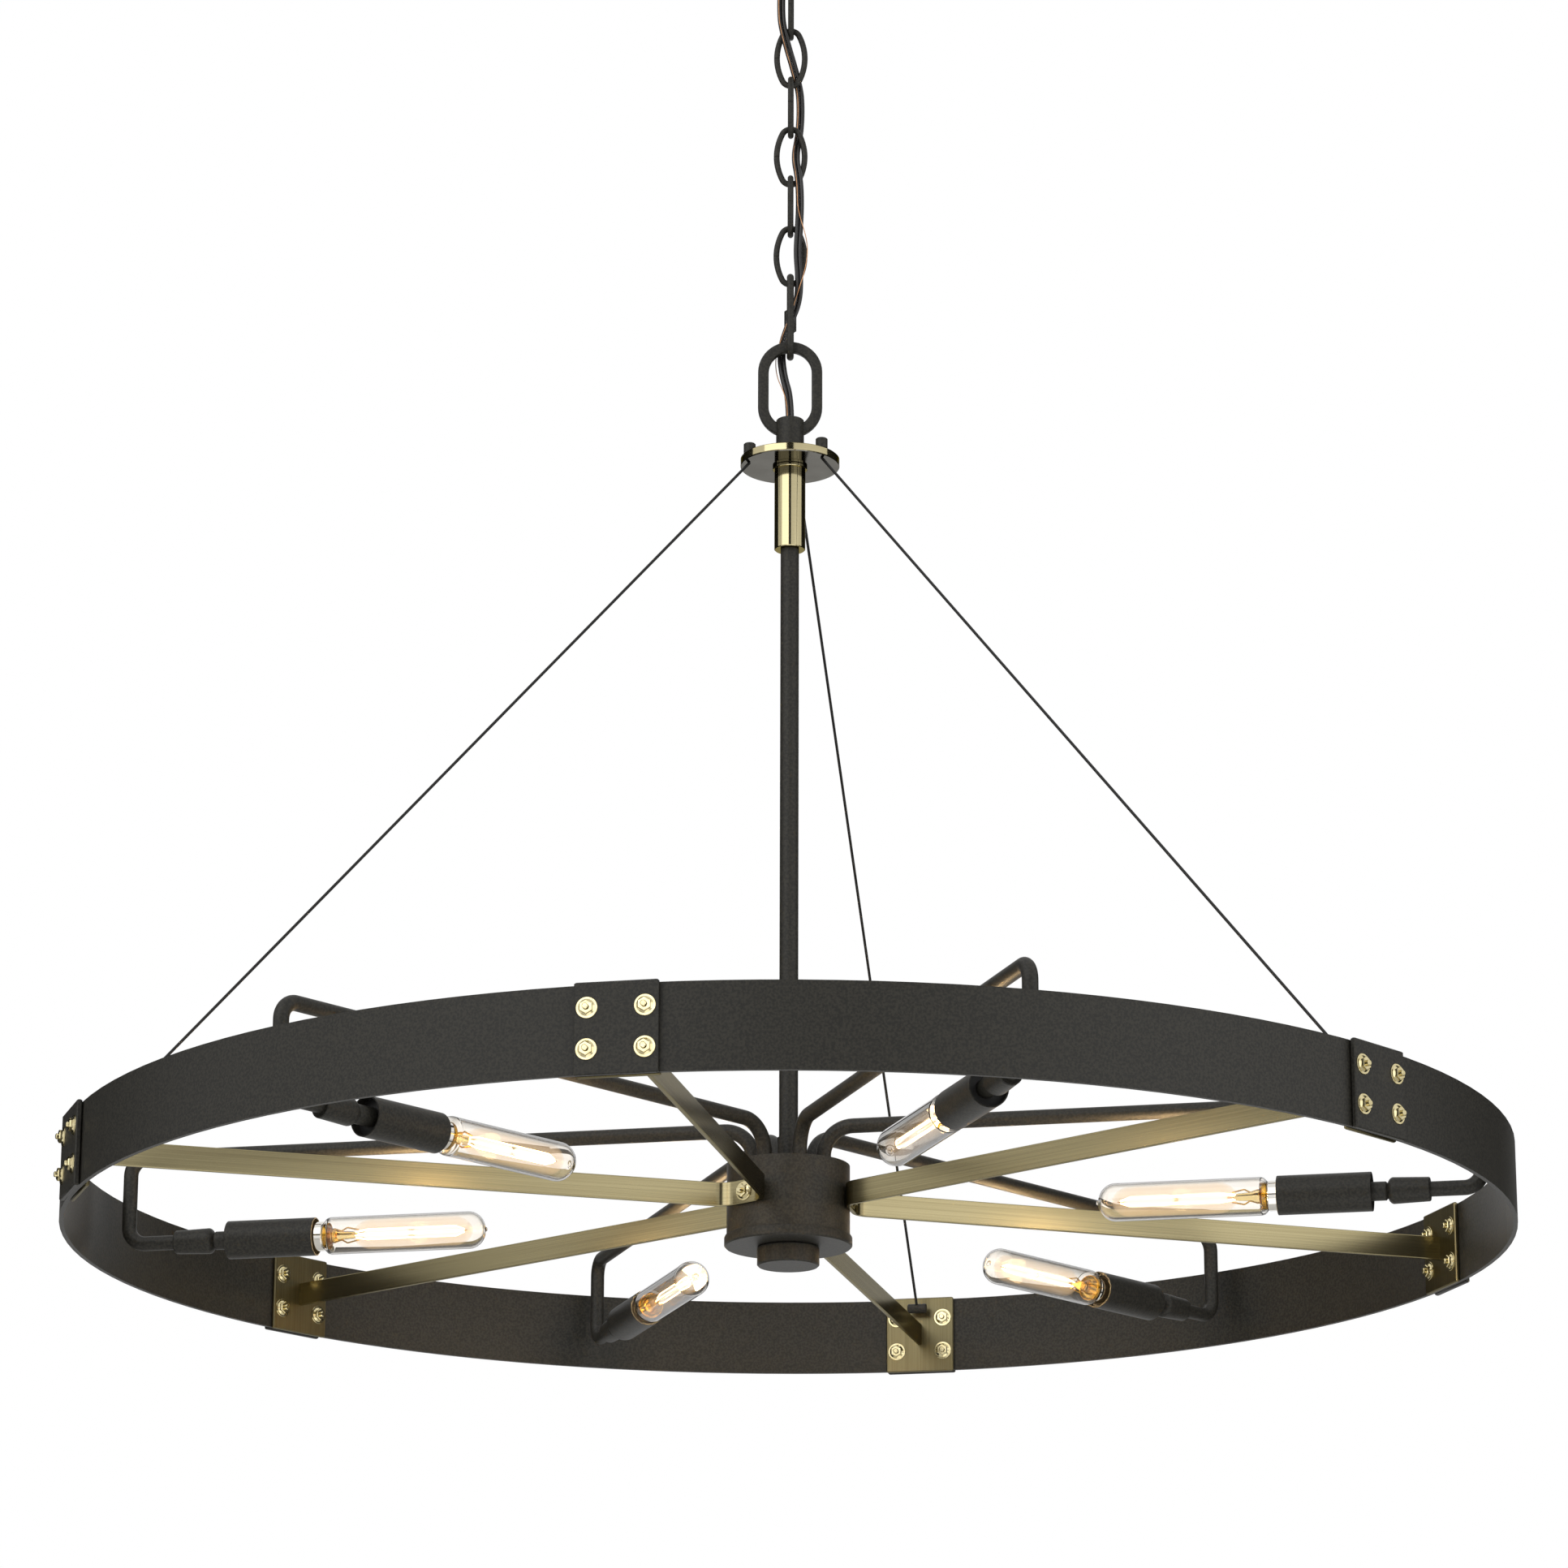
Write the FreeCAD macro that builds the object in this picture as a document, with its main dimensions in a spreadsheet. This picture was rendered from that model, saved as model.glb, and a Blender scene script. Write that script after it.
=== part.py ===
import FreeCAD, Part
import math
import os

import Sketcher
from FreeCAD import Placement, Rotation, Vector

doc = FreeCAD.newDocument("pendant_light")
sheet = doc.addObject("Spreadsheet::Sheet", "sizes")

# Driving sizes in millimetres and degrees. Heights of the lamp are above the middle plane of the rim.
SIZES = {
    "canopy_radius": 63.5, "canopy_depth": 28, "canopy_wall": 1.2,
    "bar_length": 106, "bar_width": 22, "bar_thick": 2,
    "slot_pitch": 88.9, "slot_width": 5, "slot_length": 14,
    "nipple_radius": 5, "nipple_length": 37, "cord_way_radius": 3.4,
    "collar_radius": 10, "collar_height": 14, "eye_width": 32, "eye_height": 40, "eye_wire": 6,
    "link_length": 46.7, "link_width": 24, "link_wire": 4.2, "link_end_radius": 6.5,
    "quick_length": 64, "quick_width": 21, "quick_wire": 5, "gate_gap": 7,
    "gate_nut_across": 7.4, "gate_nut_length": 15,
    "loop_width": 45, "loop_height": 71, "loop_band": 7.5, "loop_thick": 5.5,
    "loop_sink": 13, "boss_radius": 9.75, "boss_height": 29, "boss_bore": 3.2,
    "disc_radius": 34.5, "disc_thick": 6, "grip_circle": 29.5, "grip_radius": 4.2,
    "grip_height": 10, "sleeve_radius": 10.75, "sleeve_length": 59,
    "sleeve_head_radius": 12, "sleeve_head": 8.5, "rod_radius": 6.4,
    "rod_insert": 13, "rod_collar_radius": 7.8, "rod_collar_length": 19.5,
    "disc_height": 522, "hub_radius": 41.2, "hub_wall": 1.6, "hub_top": 24, "drum_height": 53.5,
    "cover_radius": 42.8, "cover_lip": 7, "cover_thick": 1.5, "finial_radius": 20.8, "finial_height": 13,
    "rim_radius": 482.5, "rim_wall": 3, "rim_height": 54,
    "plate_width": 51, "plate_height": 56, "outer_plate_thick": 3.5, "inner_plate_thick": 3,
    "bolt_pitch_across": 35, "bolt_pitch_up": 25,
    "bolt_nut_across": 10, "bolt_nut_thick": 4.5,
    "spoke_thick": 3, "spoke_width": 16, "spoke_base": 34, "spoke_bend": 14,
    "arm_radius": 5, "arm_circle": 24, "arm_rise": 50, "arm_rim_gap": 12.5, "arm_drop": 60,
    "arm_root_bend": 20, "arm_end_bend": 12,
    "coupling_inset": 34, "coupling_length": 29, "coupling_radius": 8.4,
    "nose_radius": 6.3, "nose_length": 15, "shade_radius": 13, "shade_wall": 0.9, "shade_length": 62,
    "shade_recess": 6, "insert_length": 50, "base_radius": 8.5, "base_length": 20,
    "skirt_radius": 10, "skirt_length": 8, "glass_radius": 12.7, "glass_wall": 1.2, "glass_slope": 5, "glass_length": 114,
    "filament_wire": 0.8, "filament_length": 78, "stem_radius": 3.5, "stem_length": 20,
    "cable_radius": 1, "clamp_radius": 3.5, "clamp_length": 14, "clamp_height": 18, "clamp_reach": 6,
    "cord_radius": 1.7, "fit_gap": 0.1, "link_gap": 0.3, "overrun": 1,
    "first_bracket_angle": 18,
}

COLUMNS = "ABCDEFGH"
ROWS_PER_COLUMN = 40
for place, (alias, value) in enumerate(SIZES.items()):
    cell = COLUMNS[place // ROWS_PER_COLUMN] + str(place % ROWS_PER_COLUMN + 1)
    sheet.set(cell, str(value))
    sheet.setAlias(cell, alias)
doc.recompute()


class SheetValues:
    """Reads a size of the sheet by its alias."""

    def __getattr__(self, alias):
        return float(getattr(sheet, alias))


size = SheetValues()
sub_parts = []

UP = Vector(0, 0, 1)
OUT = Vector(1, 0, 0)
ACROSS = Vector(0, 1, 0)
ORIGIN = Vector(0, 0, 0)
FULL_TURN = 360
QUARTER_TURN = 90
HALF_TURN = 180

BRACKET_COUNT = 6
ARM_COUNT = 6
SPOKE_COUNT = 3
CABLE_COUNT = 3
LINK_COUNT = 6
HEX_SIDES = 6
WIRE_SIDES = 8
ARM_SIDES = 10
LAMP_SIDES = 12
CABLE_SIDES = 6
CORD_SIDES = 5
SIDE_FACETS = 2
END_FACETS = 6
HALF_ROUND_FACETS = 8
BEND_FACETS = 4
TINY = 1e-6

# How much of the shorter run beside a bend of the cord its arc takes up
BEND_SHARE = 0.45

SECTOR = FULL_TURN / BRACKET_COUNT
bracket_angles = [size.first_bracket_angle + SECTOR * k for k in range(BRACKET_COUNT)]
arm_angles = [size.first_bracket_angle + SECTOR * (k + 0.5) for k in range(ARM_COUNT)]
spoke_angles = [size.first_bracket_angle + SECTOR * (2 * k + 1.5) for k in range(SPOKE_COUNT)]
cable_angles = [size.first_bracket_angle + SECTOR * (2 * k + 1) for k in range(CABLE_COUNT)]

# Heights of the hanging line, from the ceiling down
eye_floor = -(size.canopy_depth + size.collar_height + size.eye_height - 2 * size.eye_wire)
eye_centre = eye_floor - size.eye_wire / 2


def link_pitch(upper_wire, lower_wire):
    """How far the lower link's top wire lies above the upper link's bottom wire, centre to centre."""
    return (upper_wire + lower_wire) / 2 + size.link_gap


link_span = size.link_length - size.link_wire
quick_span = size.quick_length - size.quick_wire
chain_levels = []
hook = eye_centre
hook_wire = size.eye_wire
for _ in range(LINK_COUNT):
    top = hook + link_pitch(hook_wire, size.link_wire)
    hook = top - link_span
    hook_wire = size.link_wire
    chain_levels.append((top + hook) / 2)
quick_top = hook + link_pitch(hook_wire, size.quick_wire)
quick_bottom = quick_top - quick_span
quick_level = (quick_top + quick_bottom) / 2
loop_top = quick_bottom + link_pitch(size.quick_wire, size.loop_band) + size.loop_band / 2
loop_level = loop_top - size.loop_height / 2
boss_base = loop_top - size.loop_height - size.boss_height + size.loop_sink
disc_base = boss_base - size.disc_thick
rim_level = disc_base - size.disc_height


def at_height(height):
    """A height above the rim's middle plane, in the row's own frame."""
    return rim_level + height


def polar(radius, angle, height):
    turn = math.radians(angle)
    return Vector(radius * math.cos(turn), radius * math.sin(turn), height)


# Helpers for bodies drawn as sketches
def origin_plane(body, role):
    return [f for f in body.Origin.OriginFeatures if f.Role == role][0]


def new_body(label):
    body = doc.addObject("PartDesign::Body", label)
    body.Label = label
    return body


def sketch_on(body, role, name):
    sketch = body.newObject("Sketcher::SketchObject", name)
    sketch.AttachmentSupport = (origin_plane(body, role), [""])
    sketch.MapMode = "FlatFace"
    return sketch


def bound(sketch, constraint, expression):
    """Adds a constraint and ties its value to the sheet."""
    index = sketch.addConstraint(constraint)
    sketch.setExpression("Constraints[%d]" % index, expression)


def value_of(expression):
    return float(sheet.evalExpression(expression))


def add_circle(sketch, expression):
    circle = sketch.addGeometry(Part.Circle(ORIGIN, UP, value_of(expression)))
    sketch.addConstraint(Sketcher.Constraint("Coincident", circle, 3, -1, 1))
    bound(sketch, Sketcher.Constraint("Radius", circle, value_of(expression)), expression)


def add_outline(sketch, corners):
    """A closed outline whose corners are pairs of expressions; a corner's 0 lies on the axis."""
    places = [Vector(value_of(x), value_of(y), 0) for x, y in corners]
    lines = []
    for start, end in zip(places, places[1:] + places[:1]):
        lines.append(sketch.addGeometry(Part.LineSegment(start, end)))
    for index, line in enumerate(lines):
        following = lines[(index + 1) % len(lines)]
        sketch.addConstraint(Sketcher.Constraint("Coincident", line, 2, following, 1))
    for line, (x, y) in zip(lines, corners):
        if x == "0":
            sketch.addConstraint(Sketcher.Constraint("PointOnObject", line, 1, -2))
        else:
            bound(sketch, Sketcher.Constraint("DistanceX", -1, 1, line, 1, value_of(x)), x)
        if y == "0":
            sketch.addConstraint(Sketcher.Constraint("PointOnObject", line, 1, -1))
        else:
            bound(sketch, Sketcher.Constraint("DistanceY", -1, 1, line, 1, value_of(y)), y)


def keep(item, placement=None):
    """Puts a sub-part in its place and notes it for export."""
    if placement is not None:
        item.Placement = placement
    sub_parts.append(item)
    return item


def tube_pattern(label, outer, inner, length):
    """A round bar or tube, standing on its own base plane."""
    body = new_body(label)
    ring = sketch_on(body, "XY_Plane", label + "_ring")
    add_circle(ring, outer)
    if inner:
        add_circle(ring, inner)
    pad = body.newObject("PartDesign::Pad", label + "_pad")
    pad.Profile = ring
    pad.setExpression("Length", length)
    return body


def tube_body(label, outer, inner, length, placement):
    return keep(tube_pattern(label, outer, inner, length), placement)


def turned_pattern(label, corners):
    """A lathe-turned piece: corners are radius and height above its own base."""
    body = new_body(label)
    half = sketch_on(body, "XZ_Plane", label + "_half")
    add_outline(half, corners)
    turned = body.newObject("PartDesign::Revolution", label + "_turned")
    turned.Profile = half
    turned.ReferenceAxis = (half, ["V_Axis"])
    turned.Angle = FULL_TURN
    return body


def turned_body(label, corners, placement):
    return keep(turned_pattern(label, corners), placement)


def upright(height):
    return Placement(Vector(0, 0, height), Rotation())


def hanging(height):
    """Upside down: the piece's own base plane faces up."""
    return Placement(Vector(0, 0, height), Rotation(OUT, HALF_TURN))


def inward(radius, angle, height):
    """The piece's own +Z points from that place to the lamp's axis."""
    facing = Rotation(UP, angle).multiply(Rotation(ACROSS, -QUARTER_TURN))
    return Placement(polar(radius, angle, height), facing)


# Helpers for bent wire, strip and tube
def polygon_corners(radius, sides, centre, normal):
    """Corners of a regular polygon whose flats stand at the given radius from the centre."""
    corner_radius = radius / math.cos(math.pi / sides)
    turn = Rotation(UP, normal)
    corners = []
    for k in range(sides):
        angle = 2 * math.pi * (k + 0.5) / sides
        spot = Vector(corner_radius * math.cos(angle), corner_radius * math.sin(angle), 0)
        corners.append(centre + turn.multVec(spot))
    return corners


def flat_face(corners):
    return Part.Face(Part.makePolygon(corners + corners[:1]))


def polygon_face(radius, sides, centre, normal):
    return flat_face(polygon_corners(radius, sides, centre, normal))


def skinned(rings, closed):
    """A solid of flat faces between each ring of corners and the next."""
    faces = []
    following = rings[1:] + rings[:1] if closed else rings[1:]
    for ring, beyond in zip(rings, following):
        for j in range(len(ring)):
            faces.append(flat_face([ring[j - 1], ring[j], beyond[j], beyond[j - 1]]))
    if not closed:
        faces += [flat_face(rings[0]), flat_face(rings[-1])]
    solid = Part.Solid(Part.Shell(faces))
    if solid.Volume < 0:
        solid.reverse()
    return solid


def rounded_path(points, radii):
    """Straight runs joined by tangent arcs; radii gives the arc at each inner point."""
    edges = []
    last = points[0]
    for before, corner, after, radius in zip(points, points[1:], points[2:], radii):
        into = (corner - before).normalize()
        away = (after - corner).normalize()
        half_turn = into.getAngle(away) / 2
        setback = radius * math.tan(half_turn)
        start = corner - into * setback
        end = corner + away * setback
        bisector = (away - into).normalize()
        middle = corner + bisector * (radius / math.cos(half_turn) - radius)
        if (start - last).Length > TINY:
            edges.append(Part.LineSegment(last, start).toShape())
        edges.append(Part.Arc(start, middle, end).toShape())
        last = end
    edges.append(Part.LineSegment(last, points[-1]).toShape())
    return Part.Wire(edges)


def shaped(label, shape, placement=None):
    """A sub-part whose solid is worked out from the sheet's sizes."""
    feature = doc.addObject("Part::Feature", label)
    feature.Label = label
    feature.Shape = shape
    return keep(feature, placement or Placement())


def bent_points(arcs):
    """Corners of a faceted path in the XZ plane, whose facets touch each arc at their middles."""
    points = []
    for centre, radius, start, turn, facets in arcs:
        step = math.radians(turn) / facets
        reach = radius / math.cos(step / 2)
        for k in range(facets):
            angle = math.radians(start) + step * (k + 0.5)
            points.append(centre + Vector(reach * math.cos(angle), 0, reach * math.sin(angle)))
    return points


def oval_points(half_length, half_width, end_radius):
    """An upright oval drawn with four arcs."""
    reach = half_length - end_radius
    side_radius = (half_width**2 + reach**2 - end_radius**2) / (2 * (half_width - end_radius))
    lean = math.degrees(math.atan2(reach, side_radius - half_width))
    side_centre = half_width - side_radius
    side_turn = 2 * lean
    end_turn = HALF_TURN - side_turn
    return bent_points(
        [
            (Vector(side_centre, 0, 0), side_radius, -lean, side_turn, SIDE_FACETS),
            (Vector(0, 0, reach), end_radius, lean, end_turn, END_FACETS),
            (Vector(-side_centre, 0, 0), side_radius, HALF_TURN - lean, side_turn, SIDE_FACETS),
            (Vector(0, 0, -reach), end_radius, HALF_TURN + lean, end_turn, END_FACETS),
        ]
    )


def stadium_points(half_length, half_width):
    """An upright ring with two straight sides and half-round ends."""
    straight = half_length - half_width
    return bent_points(
        [
            (Vector(0, 0, straight), half_width, 0, HALF_TURN, HALF_ROUND_FACETS),
            (Vector(0, 0, -straight), half_width, HALF_TURN, HALF_TURN, HALF_ROUND_FACETS),
        ]
    )


def section_corners(half_in_plane, half_across, sides):
    """An even-sided section with flats at the given halves, as pairs in the plane and across it."""
    stretch = 1 / math.cos(math.pi / sides)
    corners = []
    for k in range(sides):
        angle = 2 * math.pi * (k + 0.5) / sides
        corners.append((half_in_plane * stretch * math.cos(angle), half_across * stretch * math.sin(angle)))
    return corners


def bar_along(points, section, closed):
    """A bar of that section along a path in the XZ plane, mitred at each corner."""
    rings = []
    count = len(points)
    for k, point in enumerate(points):
        before = points[k - 1] if closed or k > 0 else None
        after = points[(k + 1) % count] if closed or k < count - 1 else None
        into = (point - before).normalize() if before else (after - point).normalize()
        away = (after - point).normalize() if after else into
        sideways = (into + away).normalize().cross(ACROSS)
        widen = 1 / math.cos(into.getAngle(away) / 2)
        rings.append([point + sideways * (u * widen) + ACROSS * v for u, v in section])
    return skinned(rings, closed)


def wire_section(wire):
    return section_corners(wire / 2, wire / 2, WIRE_SIDES)


def chain_link_shape():
    half_length = (size.link_length - size.link_wire) / 2
    half_width = (size.link_width - size.link_wire) / 2
    points = oval_points(half_length, half_width, size.link_end_radius)
    return bar_along(points, wire_section(size.link_wire), True)


def ring_shape(length, width, wire, thick):
    """A closed ring of wire, wire wide in its own plane and thick across it."""
    points = stadium_points((length - wire) / 2, (width - wire) / 2)
    return bar_along(points, section_corners(wire / 2, thick / 2, WIRE_SIDES), True)


# Ceiling canopy, its mounting bar and the hanging eye
turned_body(
    "canopy",
    [
        ("sizes.nipple_radius", "sizes.canopy_depth"),
        ("sizes.canopy_radius", "sizes.canopy_depth"),
        ("sizes.canopy_radius", "0"),
        ("sizes.canopy_radius - sizes.canopy_wall", "0"),
        ("sizes.canopy_radius - sizes.canopy_wall", "sizes.canopy_depth - sizes.canopy_wall"),
        ("sizes.nipple_radius", "sizes.canopy_depth - sizes.canopy_wall"),
    ],
    hanging(0),
)


def slot_cutter(name, side):
    """A slot with half-round ends through the mounting bar."""
    middle = doc.addObject("Part::Box", name + "_middle")
    middle.setExpression("Length", "sizes.slot_length - sizes.slot_width")
    middle.setExpression("Width", "sizes.slot_width")
    middle.setExpression("Height", "sizes.bar_thick + 2 * sizes.overrun")
    middle.setExpression(
        "Placement.Base.x",
        "%d * sizes.slot_pitch / 2 - (sizes.slot_length - sizes.slot_width) / 2" % side,
    )
    middle.setExpression("Placement.Base.y", "-sizes.slot_width / 2")
    middle.setExpression("Placement.Base.z", "-sizes.bar_thick - sizes.overrun")
    parts = [middle]
    for end in (-1, 1):
        tip = doc.addObject("Part::Cylinder", name + ("_inner" if end * side < 0 else "_outer"))
        tip.setExpression("Radius", "sizes.slot_width / 2")
        tip.setExpression("Height", "sizes.bar_thick + 2 * sizes.overrun")
        tip.setExpression(
            "Placement.Base.x",
            "%d * sizes.slot_pitch / 2 + %d * (sizes.slot_length - sizes.slot_width) / 2" % (side, end),
        )
        tip.setExpression("Placement.Base.z", "-sizes.bar_thick - sizes.overrun")
        parts.append(tip)
    return parts


bar_blank = doc.addObject("Part::Box", "mounting_bar_blank")
bar_blank.setExpression("Length", "sizes.bar_length")
bar_blank.setExpression("Width", "sizes.bar_width")
bar_blank.setExpression("Height", "sizes.bar_thick")
bar_blank.setExpression("Placement.Base.x", "-sizes.bar_length / 2")
bar_blank.setExpression("Placement.Base.y", "-sizes.bar_width / 2")
bar_blank.setExpression("Placement.Base.z", "-sizes.bar_thick")
bar_bore = doc.addObject("Part::Cylinder", "mounting_bar_bore")
bar_bore.setExpression("Radius", "sizes.nipple_radius")
bar_bore.setExpression("Height", "sizes.bar_thick + 2 * sizes.overrun")
bar_bore.setExpression("Placement.Base.z", "-sizes.bar_thick - sizes.overrun")
bar_cutters = doc.addObject("Part::MultiFuse", "mounting_bar_cutters")
bar_cutters.Shapes = [bar_bore] + slot_cutter("left_slot", -1) + slot_cutter("right_slot", 1)
mounting_bar = doc.addObject("Part::Cut", "mounting_bar")
mounting_bar.Label = "mounting_bar"
mounting_bar.Base = bar_blank
mounting_bar.Tool = bar_cutters
keep(mounting_bar)

tube_body(
    "canopy_nipple",
    "sizes.nipple_radius",
    "sizes.cord_way_radius",
    "sizes.nipple_length",
    hanging(0),
)


def hex_nut(foot, across, thick, bore):
    """A hexagonal nut standing on its foot."""
    blank = polygon_face(across / 2, HEX_SIDES, foot, UP).extrude(Vector(0, 0, thick))
    return blank.cut(Part.makeCylinder(bore, thick, foot))


def canopy_eye_shape():
    """The round eye below the canopy, grown out of its threaded collar."""
    level = eye_floor + size.eye_height / 2 - size.eye_wire
    eye = ring_shape(size.eye_height, size.eye_width, size.eye_wire, size.eye_wire)
    eye.translate(Vector(0, 0, level))
    collar_foot = Vector(0, 0, -size.canopy_depth - size.collar_height)
    collar = Part.makeCylinder(size.collar_radius, size.collar_height, collar_foot)
    thread = Part.makeCylinder(size.nipple_radius, size.nipple_length, Vector(0, 0, -size.nipple_length))
    way_foot = collar_foot - UP * (2 * size.eye_wire)
    cord_way = Part.makeCylinder(size.cord_way_radius, size.collar_height + 2 * size.eye_wire, way_foot)
    return collar.fuse(eye).cut(thread).cut(cord_way).removeSplitter()


shaped("canopy_eye", canopy_eye_shape())

# Chain: each link hangs from the one above, a quarter turn round
link_shape = chain_link_shape()
for index, level in enumerate(chain_levels):
    turn = QUARTER_TURN * ((index + 1) % 2)
    shaped(
        "chain_link_%d" % (index + 1),
        link_shape.copy(),
        Placement(Vector(0, 0, level), Rotation(UP, turn)),
    )


def quick_link_shape():
    """A long link with a gap in one side, which its sleeve nut closes."""
    ring = ring_shape(size.quick_length, size.quick_width, size.quick_wire, size.quick_wire)
    gap = Part.makeBox(2 * size.quick_wire, 2 * size.quick_wire, size.gate_gap)
    gap.translate(Vector(gate_side - size.quick_wire, -size.quick_wire, -size.gate_gap / 2))
    return ring.cut(gap)


gate_side = (size.quick_width - size.quick_wire) / 2
quick_place = Placement(Vector(0, 0, quick_level), Rotation(UP, QUARTER_TURN))
shaped("quick_link", quick_link_shape(), quick_place)
gate_corner_radius = size.quick_wire / 2 / math.cos(math.pi / WIRE_SIDES)
gate_foot = Vector(gate_side, 0, -size.gate_nut_length / 2)
gate_bore = gate_corner_radius + size.fit_gap
gate_nut = hex_nut(gate_foot, size.gate_nut_across, size.gate_nut_length, gate_bore)
shaped("gate_nut", gate_nut, quick_place)


# Hanging loop, cable disc, sleeve and down rod
def hanging_loop_shape():
    loop = ring_shape(size.loop_height, size.loop_width, size.loop_band, size.loop_thick)
    loop.translate(Vector(0, 0, loop_level))
    boss = Part.makeCylinder(size.boss_radius, size.boss_height, Vector(0, 0, boss_base))
    socket_foot = Vector(0, 0, boss_base - size.overrun)
    socket = Part.makeCylinder(size.rod_radius, size.rod_insert + size.overrun, socket_foot)
    cord_way = Part.makeCylinder(size.boss_bore, size.boss_height + size.overrun, Vector(0, 0, boss_base))
    return boss.fuse(loop).cut(socket).cut(cord_way).removeSplitter()


shaped("hanging_loop", hanging_loop_shape())


tube_body(
    "cable_disc",
    "sizes.disc_radius",
    "sizes.rod_radius",
    "sizes.disc_thick",
    upright(disc_base),
)


grips = []
for angle in cable_angles:
    head = polygon_face(size.grip_radius, ARM_SIDES, polar(size.grip_circle, angle, size.disc_thick), UP)
    grips.append(head.extrude(UP * size.grip_height))
shaped("cable_grips", Part.makeCompound(grips), upright(disc_base))

turned_body(
    "rod_sleeve",
    [
        ("sizes.rod_radius", "0"),
        ("sizes.sleeve_radius", "0"),
        ("sizes.sleeve_radius", "sizes.sleeve_length - sizes.sleeve_head"),
        ("sizes.sleeve_head_radius", "sizes.sleeve_length - sizes.sleeve_head"),
        ("sizes.sleeve_head_radius", "sizes.sleeve_length"),
        ("sizes.rod_radius", "sizes.sleeve_length"),
    ],
    upright(disc_base - size.sleeve_length),
)
turned_body(
    "down_rod",
    [
        ("0", "0"),
        ("sizes.rod_collar_radius", "0"),
        ("sizes.rod_collar_radius", "sizes.rod_collar_length"),
        ("sizes.rod_radius", "sizes.rod_collar_length"),
        ("sizes.rod_radius", "sizes.disc_height + sizes.disc_thick + sizes.rod_insert - sizes.hub_top"),
        ("0", "sizes.disc_height + sizes.disc_thick + sizes.rod_insert - sizes.hub_top"),
    ],
    upright(at_height(size.hub_top)),
)

# Hub: a drum closed by a lipped cover, with the finial under it
turned_body(
    "hub_drum",
    [
        ("0", "sizes.drum_height"),
        ("sizes.hub_radius", "sizes.drum_height"),
        ("sizes.hub_radius", "0"),
        ("sizes.hub_radius - sizes.hub_wall", "0"),
        ("sizes.hub_radius - sizes.hub_wall", "sizes.drum_height - sizes.hub_wall"),
        ("0", "sizes.drum_height - sizes.hub_wall"),
    ],
    upright(at_height(size.hub_top - size.drum_height)),
)
cover_base = at_height(size.hub_top - size.drum_height - size.cover_thick)
turned_body(
    "hub_cover",
    [
        ("0", "0"),
        ("sizes.cover_radius", "0"),
        ("sizes.cover_radius", "sizes.cover_lip"),
        ("sizes.hub_radius", "sizes.cover_lip"),
        ("sizes.hub_radius", "sizes.cover_thick"),
        ("0", "sizes.cover_thick"),
    ],
    upright(cover_base),
)
tube_body(
    "finial",
    "sizes.finial_radius",
    None,
    "sizes.finial_height",
    upright(cover_base - size.finial_height),
)

# Rim band, its plates and bolts
tube_body(
    "rim_band",
    "sizes.rim_radius",
    "sizes.rim_radius - sizes.rim_wall",
    "sizes.rim_height",
    upright(at_height(-size.rim_height / 2)),
)

inner_plate_back = math.sqrt((size.rim_radius - size.rim_wall) ** 2 - (size.plate_width / 2) ** 2)
inner_plate_face = inner_plate_back - size.inner_plate_thick
outer_plate_face = size.rim_radius + size.outer_plate_thick


def plates(thick, inner_face):
    """One flat plate at each bracket, its inner face at the given distance from the axis."""
    made = []
    for angle in bracket_angles:
        plate = Part.makeBox(thick, size.plate_width, size.plate_height)
        plate.translate(Vector(inner_face, -size.plate_width / 2, -size.plate_height / 2))
        plate.rotate(ORIGIN, UP, angle)
        made.append(plate)
    return Part.makeCompound(made)


shaped("outer_plates", plates(size.outer_plate_thick, size.rim_radius), upright(rim_level))
shaped("inner_plates", plates(size.inner_plate_thick, inner_plate_face), upright(rim_level))


def bolt_nut_shape():
    """A nut seated on its own base plane, along +Z."""
    face = polygon_face(size.bolt_nut_across / 2, HEX_SIDES, ORIGIN, UP)
    return face.extrude(UP * size.bolt_nut_thick)


def bracket_bolts():
    ends = []
    for angle in bracket_angles:
        for across in (-1, 1):
            for up in (-1, 1):
                side = across * size.bolt_pitch_across / 2
                height = up * size.bolt_pitch_up / 2
                for face, facing in ((outer_plate_face, 1), (inner_plate_face, -1)):
                    end = bolt_nut_shape()
                    end.rotate(ORIGIN, ACROSS, facing * QUARTER_TURN)
                    end.translate(Vector(face, side, height))
                    end.rotate(ORIGIN, UP, angle)
                    ends.append(end)
    return Part.makeCompound(ends)


shaped("bracket_bolts", bracket_bolts(), upright(rim_level))


# Spokes: flat strips bent round the hub, each reaching two brackets
def spoke_shape():
    middle = size.hub_radius + size.spoke_thick / 2
    half_base = size.spoke_base / 2
    reach = inner_plate_face
    ends = [polar(reach, side * SECTOR / 2, 0) for side in (-1, 1)]
    corners = [Vector(middle, side * half_base, 0) for side in (-1, 1)]
    path = rounded_path([ends[0], corners[0], corners[1], ends[1]], [size.spoke_bend] * 2)
    along = (corners[0] - ends[0]).normalize()
    side = along.cross(UP) * (size.spoke_thick / 2)
    rise = UP * (size.spoke_width / 2)
    corner_points = [side - rise, side + rise, -side + rise, -side - rise]
    outline = [ends[0] + point for point in corner_points]
    section = Part.Face(Part.makePolygon(outline + outline[:1]))
    return path.makePipe(section)


spoke = spoke_shape()
for index, angle in enumerate(spoke_angles):
    shaped(
        "spoke_%d" % (index + 1),
        spoke.copy(),
        Placement(Vector(0, 0, rim_level), Rotation(UP, angle)),
    )

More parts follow.
